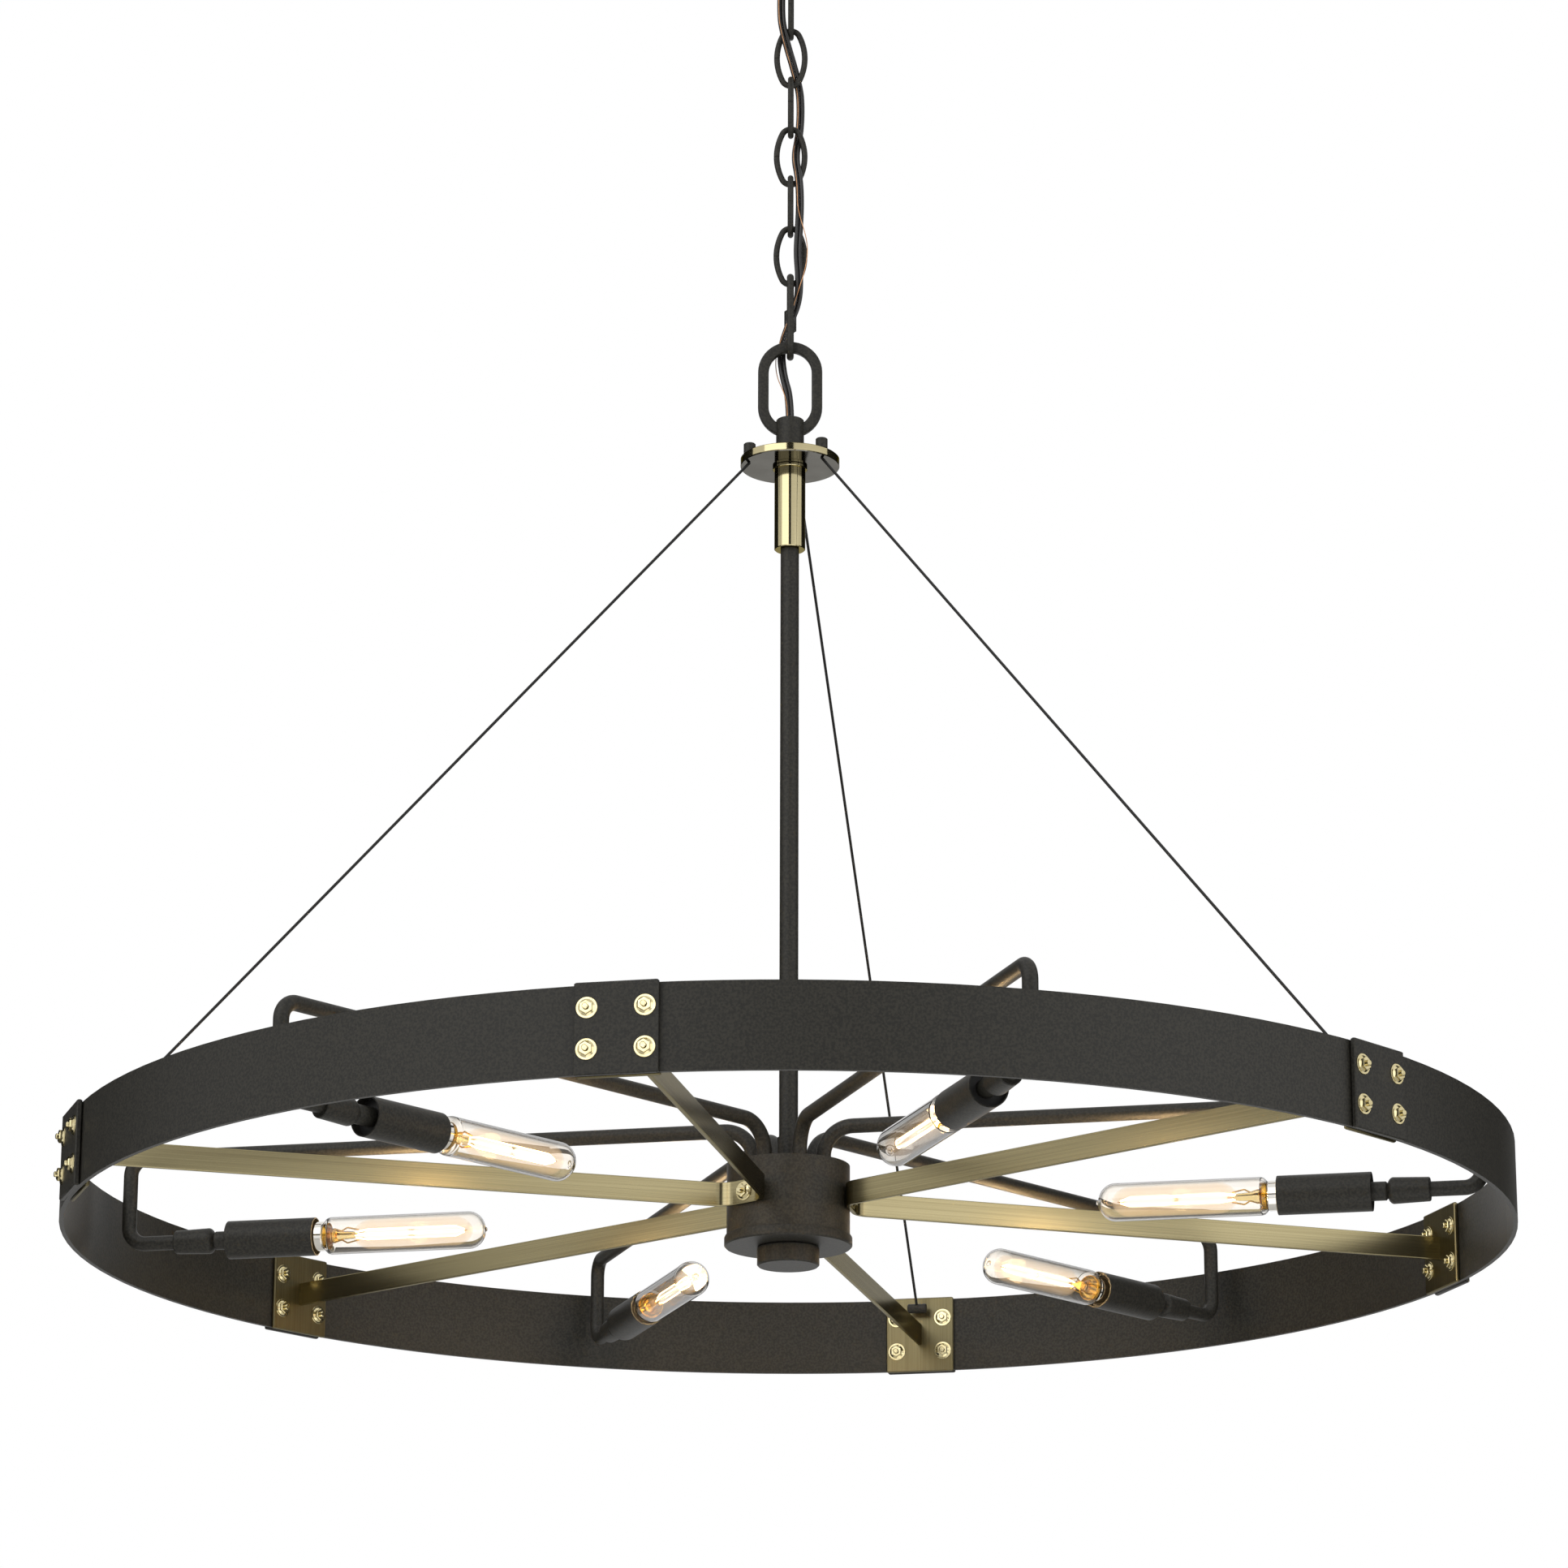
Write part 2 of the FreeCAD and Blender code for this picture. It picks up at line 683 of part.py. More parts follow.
hub_bolts = []
for angle in spoke_angles:
    end = bolt_nut_shape()
    end.rotate(ORIGIN, ACROSS, QUARTER_TURN)
    end.translate(Vector(size.hub_radius + size.spoke_thick, 0, 0))
    end.rotate(ORIGIN, UP, angle)
    hub_bolts.append(end)
shaped("hub_bolts", Part.makeCompound(hub_bolts), upright(rim_level))


# Lamp arms: up out of the hub, along, down inside the rim and back towards the hub
arm_reach = size.rim_radius - size.rim_wall - size.arm_rim_gap - size.arm_radius
coupling_start = arm_reach - size.coupling_inset


def arm_shape():
    lower = size.arm_rise - size.arm_drop
    root = size.arm_root_bend
    bend = size.arm_end_bend
    points = [Vector(size.arm_circle, 0, size.hub_top)]
    points += bent_points(
        [(Vector(size.arm_circle + root, 0, size.arm_rise - root), root, HALF_TURN, -QUARTER_TURN, BEND_FACETS)]
    )
    points += bent_points(
        [
            (Vector(arm_reach - bend, 0, size.arm_rise - bend), bend, QUARTER_TURN, -QUARTER_TURN, BEND_FACETS),
            (Vector(arm_reach - bend, 0, lower + bend), bend, 0, -QUARTER_TURN, BEND_FACETS),
        ]
    )
    points.append(Vector(coupling_start, 0, lower))
    return bar_along(points, section_corners(size.arm_radius, size.arm_radius, ARM_SIDES), False)


arm = arm_shape()
for index, angle in enumerate(arm_angles):
    shaped("arm_%d" % (index + 1), arm.copy(), Placement(Vector(0, 0, rim_level), Rotation(UP, angle)))

lamp_level = at_height(size.arm_rise - size.arm_drop)
shade_back = coupling_start - size.coupling_length - size.nose_length + size.shade_recess
insert_back = shade_back - size.shade_recess
insert_front = insert_back - size.insert_length
glass_back = insert_front - size.skirt_length


def at_each_arm(label, shape, radius):
    """One copy at each arm, its own +Z pointing to the lamp's axis."""
    copies = []
    for angle in arm_angles:
        copy = shape.copy()
        copy.Placement = inward(radius, angle, lamp_level)
        copies.append(copy)
    shaped(label, Part.makeCompound(copies))


def prism(radius, sides, foot, height):
    """An upright bar with an even number of flats."""
    return polygon_face(radius, sides, Vector(0, 0, foot), UP).extrude(UP * height)


def coupling_shape():
    body = prism(size.coupling_radius, LAMP_SIDES, 0, size.coupling_length)
    return body.fuse(prism(size.nose_radius, LAMP_SIDES, size.coupling_length, size.nose_length))


def shade_shape():
    outer = prism(size.shade_radius, LAMP_SIDES, 0, size.shade_length)
    return outer.cut(prism(size.shade_radius - size.shade_wall, LAMP_SIDES, 0, size.shade_length))


def insert_shape():
    body = prism(size.shade_radius - size.shade_wall, LAMP_SIDES, 0, size.insert_length)
    return body.cut(
        prism(size.base_radius, LAMP_SIDES, size.insert_length - size.base_length, size.base_length)
    )


def bulb_base_shape():
    screw = prism(size.base_radius, LAMP_SIDES, 0, size.base_length)
    return screw.fuse(prism(size.skirt_radius, LAMP_SIDES, size.base_length, size.skirt_length))


def filament_shape():
    """Glass stem and the long loop of filament that stands on it."""
    stem = prism(size.stem_radius, HEX_SIDES, 0, size.stem_length)
    return stem.fuse(prism(size.filament_wire, HEX_SIDES, 0, size.filament_length))


def bulb_shape():
    """A tubular glass with a sloped shoulder at its tip, closed at both ends."""
    shoulder = size.glass_length - size.glass_slope
    profile = [
        (size.glass_radius, 0),
        (size.glass_radius, shoulder),
        (size.glass_radius - size.glass_slope, size.glass_length),
    ]
    outer = skinned([polygon_corners(r, LAMP_SIDES, Vector(0, 0, height), UP) for r, height in profile], False)
    hollow_radius = size.glass_radius - size.glass_wall
    return outer.cut(prism(hollow_radius, LAMP_SIDES, size.glass_wall, shoulder - 2 * size.glass_wall))


at_each_arm("couplings", coupling_shape(), coupling_start)
at_each_arm("shades", shade_shape(), shade_back)
at_each_arm("socket_inserts", insert_shape(), insert_back)
at_each_arm("bulb_bases", bulb_base_shape(), insert_front + size.base_length)
at_each_arm("filaments", filament_shape(), glass_back - size.glass_wall)
at_each_arm("bulbs", bulb_shape(), glass_back)


# Suspension cables and the clamps that hold them to the inner plates
def cable_shape():
    top = Vector(size.grip_circle, 0, size.disc_height - size.link_gap)
    clamp = Vector(inner_plate_face - size.clamp_reach - size.clamp_radius, 0, size.clamp_height)
    along = (clamp - top).normalize()
    start = top + along * size.cable_radius
    bottom = clamp - along * (size.clamp_radius + size.link_gap)
    section = polygon_face(size.cable_radius, CABLE_SIDES, start, along)
    return section.extrude(bottom - start)


def clamp_shape():
    centre = inner_plate_face - size.clamp_reach - size.clamp_radius
    foot = Vector(centre, -size.clamp_length / 2, size.clamp_height)
    barrel = polygon_face(size.clamp_radius, WIRE_SIDES, foot, ACROSS).extrude(ACROSS * size.clamp_length)
    lug_width = size.clamp_length / 2
    lug = Part.makeBox(size.clamp_reach + size.clamp_radius, lug_width, size.clamp_radius)
    lug.translate(Vector(centre, -lug_width / 2, size.clamp_height - size.clamp_radius / 2))
    return barrel.fuse(lug)


cable = cable_shape()
for index, angle in enumerate(cable_angles):
    shaped(
        "suspension_cable_%d" % (index + 1),
        cable.copy(),
        Placement(Vector(0, 0, rim_level), Rotation(UP, angle)),
    )
clamps = []
for angle in cable_angles:
    clamp = clamp_shape()
    clamp.rotate(ORIGIN, UP, angle)
    clamps.append(clamp)
shaped("cable_clamps", Part.makeCompound(clamps), upright(rim_level))

# Supply cord, laced through the chain: across, away from the viewer, and height above the eye's centre
CORD_ROUTE = [
    (0, 0, 72),
    (0, 0, 34.5),
    (-1.5, -2, 21.5),
    (-6.4, -7, 4.5),
    (-7.2, -6, -16),
    (-6.2, -6, -34),
    (6.2, 6, -73),
    (7.2, 6.2, -92),
    (6.2, 6.4, -110),
    (2.9, 0, -130),
    (6, -6.2, -149),
    (6.8, -7.4, -168),
    (6, -6.8, -187),
    (4.8, -7.2, -206),
    (6.4, -6.6, -224),
    (5.6, -2, -241),
    (0, -0.5, -255),
    (-6.8, 6.4, -274),
    (-5, 4.4, -294),
    (0, 0, -313),
    (0, 0, -336),
]


def cord_shape():
    points = [Vector(x, y, eye_centre + height) for x, y, height in CORD_ROUTE]
    radii = []
    for before, corner, after in zip(points, points[1:], points[2:]):
        half_turn = (corner - before).getAngle(after - corner) / 2
        shorter = min((corner - before).Length, (after - corner).Length)
        radii.append(BEND_SHARE * shorter / math.tan(half_turn))
    path = rounded_path(points, radii)
    section = polygon_face(size.cord_radius, CORD_SIDES, points[0], points[1] - points[0])
    return path.makePipeShell([section.OuterWire], True, False)


shaped("supply_cord", cord_shape())

doc.recompute()

# Every object has to be sound before anything is written
for item in doc.Objects:
    if "Invalid" in item.State or "Error" in item.State:
        raise RuntimeError("%s failed: %s" % (item.Name, item.State))
for item in sub_parts:
    shape = item.Shape
    if shape.isNull() or not shape.isValid() or not shape.Solids:
        raise RuntimeError("%s has no sound solid" % item.Label)

os.makedirs("parts", exist_ok=True)
for item in sub_parts:
    item.Shape.exportStep("parts/%s.step" % item.Label)
print("%d sub-parts, rim level %.2f" % (len(sub_parts), rim_level))
for name, level in [("first link", chain_levels[0]), ("quick link", quick_level), ("loop", loop_level)]:
    print("%s %.2f above the rim" % (name, level - rim_level))
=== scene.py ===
"""Looks, light and camera for the wheel-shaped pendant light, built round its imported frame."""

import math
from itertools import product
from types import SimpleNamespace

import bpy
from mathutils import Matrix, Vector


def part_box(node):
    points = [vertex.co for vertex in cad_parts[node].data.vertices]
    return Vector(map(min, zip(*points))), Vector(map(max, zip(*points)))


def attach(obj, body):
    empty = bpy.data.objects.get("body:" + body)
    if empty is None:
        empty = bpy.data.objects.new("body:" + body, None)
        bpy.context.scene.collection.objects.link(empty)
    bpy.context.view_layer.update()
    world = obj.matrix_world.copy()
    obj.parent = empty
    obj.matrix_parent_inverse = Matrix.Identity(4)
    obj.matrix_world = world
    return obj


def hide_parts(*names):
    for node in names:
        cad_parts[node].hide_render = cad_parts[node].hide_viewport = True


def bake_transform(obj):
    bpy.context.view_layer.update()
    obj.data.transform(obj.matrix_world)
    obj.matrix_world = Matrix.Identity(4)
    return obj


MM = 0.001
FULL_TURN = 2 * math.pi
HALF_TURN = math.pi
QUARTER_TURN = math.pi / 2
UP = Vector((0, 0, 1))
ACROSS = Vector((0, 1, 0))

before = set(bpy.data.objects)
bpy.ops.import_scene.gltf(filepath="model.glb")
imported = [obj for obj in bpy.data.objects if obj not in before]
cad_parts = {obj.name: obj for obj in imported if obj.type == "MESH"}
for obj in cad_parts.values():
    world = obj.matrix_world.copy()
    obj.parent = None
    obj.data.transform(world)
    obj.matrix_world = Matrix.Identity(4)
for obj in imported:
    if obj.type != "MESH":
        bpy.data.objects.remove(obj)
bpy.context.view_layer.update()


def node_box(node):
    """A node's lowest and highest corners in millimetres."""
    low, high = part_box(node)
    return low / MM, high / MM


def round_node(node):
    """A round node's radius, the level of its foot and its height."""
    low, high = node_box(node)
    return (high.x - low.x) / 2, low.z, high.z - low.z


rim_low, rim_high = node_box("rim_band")
RIM_LEVEL = (rim_low.z + rim_high.z) / 2
RIM_RADIUS = (rim_high.x - rim_low.x) / 2

# Sizes in millimetres; heights are above the middle plane of the rim
size = SimpleNamespace(
    link_wire=4.2, link_end_radius=6.5, seam_width=0.7, quick_wire=5,
    loop_height=71, loop_band=7.5, loop_thick=5.5, rod_radius=6.4, rod_insert=13,
    boss_radius=9.75, boss_height=29, boss_bore=3.2, boss_edge=0.8,
    disc_height=522, disc_thick=6, disc_face=0.4, disc_edge=0.5,
    grip_circle=29.5, grip_radius=4.2, grip_height=8, grip_edge=0.6,
    sleeve_radius=10.75, sleeve_edge=0.5, sleeve_below=2,
    sleeve_ring=2.3, sleeve_ring_radius=12, sleeve_ring_edge=0.4,
    cable_radius=1, cable_insert=0.5,
    clamp_radius=3.5, clamp_length=14, clamp_height=18, clamp_reach=6, clamp_edge=0.5, lug_edge=0.4,
    hub_radius=41.2, hub_top=24, hub_edge=1, cover_wall=1.5,
    rim_wall=3, outer_plate=3.5, inner_plate=3, plate_width=51, plate_height=56, plate_edge=0.7,
    bolt_across=35, bolt_up=25, bolt_radius=1.9, bolt_end=1.9, bolt_edge=0.5,
    nut_across=7.6, nut_thick=3.5, nut_edge=0.5,
    flange=0.7, flange_radius=6.5, flange_edge=0.2, flange_flat=1.3, flange_slope=1.1,
    spoke_thick=3, spoke_width=16, spoke_edge=0.5, spoke_base=34, spoke_bend=14,
    arm_radius=5, arm_circle=24, arm_rise=50, arm_reach=462, arm_drop=60,
    arm_root_bend=20, arm_end_bend=12,
    coupling_start=428, coupling_length=29, coupling_back_radius=8, coupling_front_radius=8.8,
    coupling_shoulder=5, coupling_dome=4.6, coupling_edge=0.6, coupling_slope=0.7,
    nose_radius=6.3, nose_length=15,
    shade_radius=13, shade_wall=0.9, shade_length=62, shade_recess=6, shade_edge=0.2,
    insert_length=50, contact_radius=5, screw_start=2, screw_length=18, screw_radius=8.4, screw_depth=0.9,
    skirt_radius=10, skirt_length=12, skirt_edge=0.6, skirt_flare=0.2,
    glass_radius=12.7, glass_wall=1, glass_length=114, glass_mouth_radius=9.2, glass_lip=0.4,
    glass_shoulder=4.8, glass_neck_radius=10.6, glass_neck_edge=0.5,
    seal=1.2, tip_length=1, tip_root_radius=1.6, tip_radius=1.1,
    core_radius=1.45, earth_radius=0.32, earth_left=1.74, earth_bow_right=8.5, earth_bow_left=3,
)
LINKS = 6
SECTORS = 6
SECTOR = 360 / SECTORS
FIRST_BRACKET = 18
bracket_angles = [FIRST_BRACKET + SECTOR * k for k in range(SECTORS)]
arm_angles = [FIRST_BRACKET + SECTOR * (k + 0.5) for k in range(SECTORS)]
spoke_angles = [FIRST_BRACKET + SECTOR * (2 * k + 1.5) for k in range(SECTORS // 2)]
cable_angles = [FIRST_BRACKET + SECTOR * (2 * k + 1) for k in range(SECTORS // 2)]
inner_plate_back = math.sqrt((RIM_RADIUS - size.rim_wall) ** 2 - (size.plate_width / 2) ** 2)
inner_plate_face = inner_plate_back - size.inner_plate
clamp_centre = inner_plate_face - size.clamp_reach - size.clamp_radius
lamp_height = size.arm_rise - size.arm_drop

WHEEL = "lamp_wheel"
QUICK_LINK = "body_quick_link"
# The angle in radians between two faces above which their edge isn't shaded smooth
SHARP = 0.6
SHARP_METAL = 0.5


# Geometry as (points, faces), in millimetres
def moved(shape, matrix):
    points, faces = shape
    return [matrix @ p for p in points], faces


def raised(shape, height):
    return moved(shape, Matrix.Translation((0, 0, height)))


def joined(shapes):
    points, faces = [], []
    for more_points, more_faces in shapes:
        base = len(points)
        points += more_points
        faces += [tuple(base + i for i in face) for face in more_faces]
    return points, faces


def turned(angle):
    """A turn about the lamp's axis, in degrees, at the rim's level."""
    return Matrix.Translation((0, 0, RIM_LEVEL)) @ Matrix.Rotation(math.radians(angle), 4, "Z")


def at_each(angles, shape, place):
    """Copies of a shape, one at the same place of each angle's own sector."""
    return joined([moved(shape, turned(angle) @ place) for angle in angles])


def lathed(profile, segments=48):
    """Turns (radius, height) pairs about Z; a pair with radius 0 closes on the axis."""
    points, faces, rows = [], [], []
    for radius, height in profile:
        if radius == 0:
            rows.append([len(points)])
            points.append(Vector((0, 0, height)))
            continue
        rows.append(list(range(len(points), len(points) + segments)))
        for k in range(segments):
            angle = FULL_TURN * k / segments
            points.append(Vector((radius * math.cos(angle), radius * math.sin(angle), height)))
    for row, above in zip(rows, rows[1:]):
        for k in range(segments):
            n = (k + 1) % segments
            corners = [row[k % len(row)], row[n % len(row)], above[n % len(above)], above[k % len(above)]]
            unique = list(dict.fromkeys(corners))
            if len(unique) > 2:
                faces.append(tuple(unique))
    return points, faces


def stepped(steps, edge):
    """A lathe profile through (radius, height) corners, each outer corner cut back by edge."""
    profile = []
    for index, (radius, height) in enumerate(steps):
        before = steps[index - 1] if index else None
        after = steps[index + 1] if index + 1 < len(steps) else None
        if radius == 0 or before is None or after is None:
            profile.append((radius, height))
            continue
        here = Vector((radius, height))
        for other in (before, after):
            way = Vector(other) - here
            cut = min(edge, way.length / 3)
            spot = here + way.normalized() * cut
            profile.append((spot.x, spot.y))
    return profile


def round_bar(radius, foot, top, edge, segments):
    """A round bar along Z with the edges of its ends cut off."""
    return lathed(stepped([(0, foot), (radius, foot), (radius, top), (0, top)], edge), segments)


def dome(radius, length, height, steps=10):
    """Profile of a rounded end that starts at the given height."""
    return [
        (radius * math.cos(QUARTER_TURN * k / steps), height + length * math.sin(QUARTER_TURN * k / steps))
        for k in range(1, steps)
    ]


def skinned(rows, closed):
    """Faces between rows of points, each joined to the next: a closed ring, or a bar with two lids."""
    points = [point for row in rows for point in row]
    width = len(rows[0])
    faces = []
    for k in range(len(rows) if closed else len(rows) - 1):
        a = k * width
        b = (k + 1) % len(rows) * width
        for j in range(width):
            n = (j + 1) % width
            faces.append((a + j, a + n, b + n, b + j))
    if not closed:
        faces.append(tuple(reversed(range(width))))
        faces.append(tuple(range(len(points) - width, len(points))))
    return points, faces


def swept(path, section, closed=False, normal=ACROSS, widths=None):
    """Carries a section of (sideways, along normal) pairs down a path; widths scale it at each point."""
    count = len(path)
    rows = []
    for k, point in enumerate(path):
        before = path[(k - 1) % count] if closed or k else point
        after = path[(k + 1) % count] if closed or k + 1 < count else point
        along = (after - before).normalized()
        lift = (normal - along * normal.dot(along)).normalized()
        side = along.cross(lift)
        wide = widths[k] if widths else 1
        rows.append([point + side * (u * wide) + lift * (v * wide) for u, v in section])
        if not closed:
            normal = lift
    return skinned(rows, closed)


def circle(radius, sides=24):
    return [
        (radius * math.cos(FULL_TURN * k / sides), radius * math.sin(FULL_TURN * k / sides))
        for k in range(sides)
    ]


def squared_oval(half_width, half_height, sides=24, power=0.35):
    """A section between an oval and a rectangle: power 1 is the oval, and a smaller one is squarer."""
    section = []
    for k in range(sides):
        angle = FULL_TURN * (k + 0.5) / sides
        across, up = math.cos(angle), math.sin(angle)
        section.append((
            half_width * math.copysign(abs(across) ** power, across),
            half_height * math.copysign(abs(up) ** power, up),
        ))
    return section


def soft_rectangle(width, height, corner):
    """A rectangle section with its corners cut off."""
    half_w, half_h = width / 2, height / 2
    return [
        (half_w, -half_h + corner), (half_w, half_h - corner),
        (half_w - corner, half_h), (-half_w + corner, half_h),
        (-half_w, half_h - corner), (-half_w, -half_h + corner),
        (-half_w + corner, -half_h), (half_w - corner, -half_h),
    ]


def soft_box(x, y, z, corner):
    """A box centred on the origin with its edges cut off."""
    rows = []
    for height, inset in [(-z / 2, corner), (-z / 2 + corner, 0), (z / 2 - corner, 0), (z / 2, corner)]:
        ring = soft_rectangle(x - 2 * inset, y - 2 * inset, corner)
        rows.append([Vector((u, v, height)) for u, v in ring])
    return skinned(rows, closed=False)


def arc(centre, radius, start, turn, steps):
    """Points along an arc in the XZ plane; angles in radians, from +X towards +Z."""
    spots = []
    for k in range(steps + 1):
        angle = start + turn * k / steps
        spots.append(centre + Vector((radius * math.cos(angle), 0, radius * math.sin(angle))))
    return spots


def tangent_path(corners, radii, steps=10):
    """Straight runs joined by tangent arcs."""
    path = [corners[0]]
    for before, corner, after, radius in zip(corners, corners[1:], corners[2:], radii):
        into = (corner - before).normalized()
        away = (after - corner).normalized()
        half = into.angle(away) / 2
        setback = radius * math.tan(half)
        centre = corner + (away - into).normalized() * (radius / math.cos(half))
        first = corner - into * setback - centre
        last = corner + away * setback - centre
        swing = 2 * half
        for k in range(steps + 1):
            share = k / steps
            mix = first * math.sin((1 - share) * swing) + last * math.sin(share * swing)
            path.append(centre + mix / math.sin(swing))
    path.append(corners[-1])
    return path


def finish_mesh(mesh, material, sharp):
    """Gives a mesh its only material and smooth shading, apart from its sharp edges."""
    mesh.materials.clear()
    mesh.materials.append(material)
    mesh.shade_smooth()
    mesh.set_sharp_from_angle(angle=sharp)


def make(name, shape, material, body, nodes=(), sharp=SHARP):
    """Makes the piece, gives it its material and body, and hides the nodes it stands for."""
    points, faces = shape
    mesh = bpy.data.meshes.new(name)
    mesh.from_pydata([p * MM for p in points], [], faces)
    mesh.validate()
    mesh.update()
    finish_mesh(mesh, material, sharp)
    obj = bpy.data.objects.new(name, mesh)
    bpy.context.scene.collection.objects.link(obj)
    if body:
        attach(obj, body)
    if nodes:
        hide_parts(*nodes)
    return obj


def make_each(stem, ending, shape, angles, material):
    """A piece for each node of a numbered set, all of one shape turned about the lamp's axis."""
    for k, angle in enumerate(angles):
        node = "%s_%d" % (stem, k + 1)
        make(node + ending, moved(shape, turned(angle)), material, WHEEL, [node])


# Materials
def new_material(name):
    material = bpy.data.materials.new(name)
    material.use_nodes = True
    tree = material.node_tree
    return material, tree, tree.nodes["Principled BSDF"]


def srgb(red, green, blue):
    """A colour given 0 to 255, as the shader wants it."""
    channels = []
    for value in (red, green, blue):
        share = value / 255
        channels.append(share / 12.92 if share <= 0.04045 else ((share + 0.055) / 1.055) ** 2.4)
    return (*channels, 1)


def grey(value):
    return (value, value, value, 1)


def set_inputs(node, values):
    for socket, value in values.items():
        node.inputs[socket].default_value = value


def add_noise(tree, scale, detail=2, fineness=(1, 1, 1)):
    """Noise in the object's own space, finer along the axes where fineness is larger."""
    place = tree.nodes.new("ShaderNodeTexCoord")
    mapping = tree.nodes.new("ShaderNodeMapping")
    set_inputs(mapping, {"Scale": fineness})
    noise = tree.nodes.new("ShaderNodeTexNoise")
    set_inputs(noise, {"Scale": scale, "Detail": detail})
    tree.links.new(place.outputs["Object"], mapping.inputs["Vector"])
    tree.links.new(mapping.outputs["Vector"], noise.inputs["Vector"])
    return noise.outputs["Fac"]


def add_ramp(tree, factor, stops):
    """A colour that follows factor through (position, colour) stops."""
    ramp = tree.nodes.new("ShaderNodeValToRGB")
    places = ramp.color_ramp.elements
    while len(places) < len(stops):
        places.new(0.5)
    for item, (position, colour) in zip(places, stops):
        item.position = position
        item.color = colour
    tree.links.new(factor, ramp.inputs["Fac"])
    return ramp.outputs["Color"]


def add_bump(tree, shader, height, strength, distance):
    bump = tree.nodes.new("ShaderNodeBump")
    set_inputs(bump, {"Strength": strength, "Distance": distance})
    tree.links.new(height, bump.inputs["Height"])
    tree.links.new(bump.outputs["Normal"], shader.inputs["Normal"])


def add_multiply(tree, first, second):
    """The product of two colours."""
    mix = tree.nodes.new("ShaderNodeMixRGB")
    mix.blend_type = "MULTIPLY"
    mix.inputs["Fac"].default_value = 1
    tree.links.new(first, mix.inputs["Color1"])
    tree.links.new(second, mix.inputs["Color2"])
    return mix.outputs["Color"]


def edge_share(tree):
    """0 where a surface faces the viewer, 1 at its outline."""
    weight = tree.nodes.new("ShaderNodeLayerWeight")
    weight.inputs["Blend"].default_value = 0.5
    return weight.outputs["Facing"]


def painted(name, low, high, roughness):
    """Powder coat: fine speckle and a slight orange peel."""
    material, tree, shader = new_material(name)
    speckle = add_noise(tree, scale=620, detail=4)
    colour = add_ramp(tree, speckle, [(0.4, low), (0.6, high)])
    tree.links.new(colour, shader.inputs["Base Color"])
    add_bump(tree, shader, speckle, strength=0.3, distance=0.0003)
    set_inputs(shader, {"Roughness": roughness, "Specular IOR Level": 0.3})
    return material


def metal(name, low, high, roughness, fineness=(1, 1, 1), scale=300, bump=0.05, edge=0.9):
    """Metal with fine marks, brushed across the axes where fineness is large.

    An edge below 1 darkens it where it turns away from the viewer."""
    material, tree, shader = new_material(name)
    marks = add_noise(tree, scale, detail=4, fineness=fineness)
    colour = add_ramp(tree, marks, [(0.35, low), (0.65, high)])
    tree.links.new(colour, shader.inputs["Base Color"])
    add_bump(tree, shader, marks, strength=bump, distance=0.0001)
    set_inputs(shader, {"Metallic": 1, "Roughness": roughness, "Specular Tint": grey(edge)})
    return material


def plain(name, colour, roughness, metallic=0):
    """A moulded or plated surface of one colour, faintly uneven."""
    material, tree, shader = new_material(name)
    add_bump(tree, shader, add_noise(tree, scale=120), strength=0.03, distance=0.0002)
    set_inputs(shader, {"Base Color": colour, "Roughness": roughness, "Metallic": metallic})
    return material


def glowing(name, colour, strength):
    """A plain surface that gives off light of its own colour."""
    material = plain(name, colour, roughness=0.5)
    shader = material.node_tree.nodes["Principled BSDF"]
    set_inputs(shader, {"Emission Color": colour, "Emission Strength": strength})
    return material


def clear_glass(name, low, high, bend, edge):
    """Refracting glass with faint seeds, and painted shade at its outline: its colour darkens where the
    surface turns away from the viewer.
    """
    material, tree, shader = new_material(name)
    seeds = add_noise(tree, scale=90)
    tint = add_ramp(tree, seeds, [(0.35, low), (0.65, high)])
    # Painted shade: the colour falls towards edge at the outline
    outline = add_ramp(tree, edge_share(tree), [(0.4, grey(1)), (0.8, grey(edge))])
    tree.links.new(add_multiply(tree, tint, outline), shader.inputs["Base Color"])
    add_bump(tree, shader, seeds, strength=0.02, distance=0.0003)
    set_inputs(shader, {"Transmission Weight": 1, "Roughness": 0, "IOR": bend})
    return material


def painted_glow_material(name, colour, strength, thickest):
    """Painted glow round a lit filament: a shell that gives off light for the wire's glare, thick in its
    middle and gone at its outline.
    """
    material, tree, shader = new_material(name)
    tree.nodes.remove(shader)
    stops = [(0, grey(thickest)), (0.45, grey(thickest * 0.6)), (0.9, grey(0))]
    amount = add_ramp(tree, edge_share(tree), stops)
    light = tree.nodes.new("ShaderNodeEmission")
    set_inputs(light, {"Color": colour, "Strength": strength})
    through = tree.nodes.new("ShaderNodeBsdfTransparent")
    mix = tree.nodes.new("ShaderNodeMixShader")
    tree.links.new(amount, mix.inputs["Fac"])
    tree.links.new(through.outputs["BSDF"], mix.inputs[1])
    tree.links.new(light.outputs["Emission"], mix.inputs[2])
    tree.links.new(mix.outputs["Shader"], tree.nodes["Material Output"].inputs["Surface"])
    return material


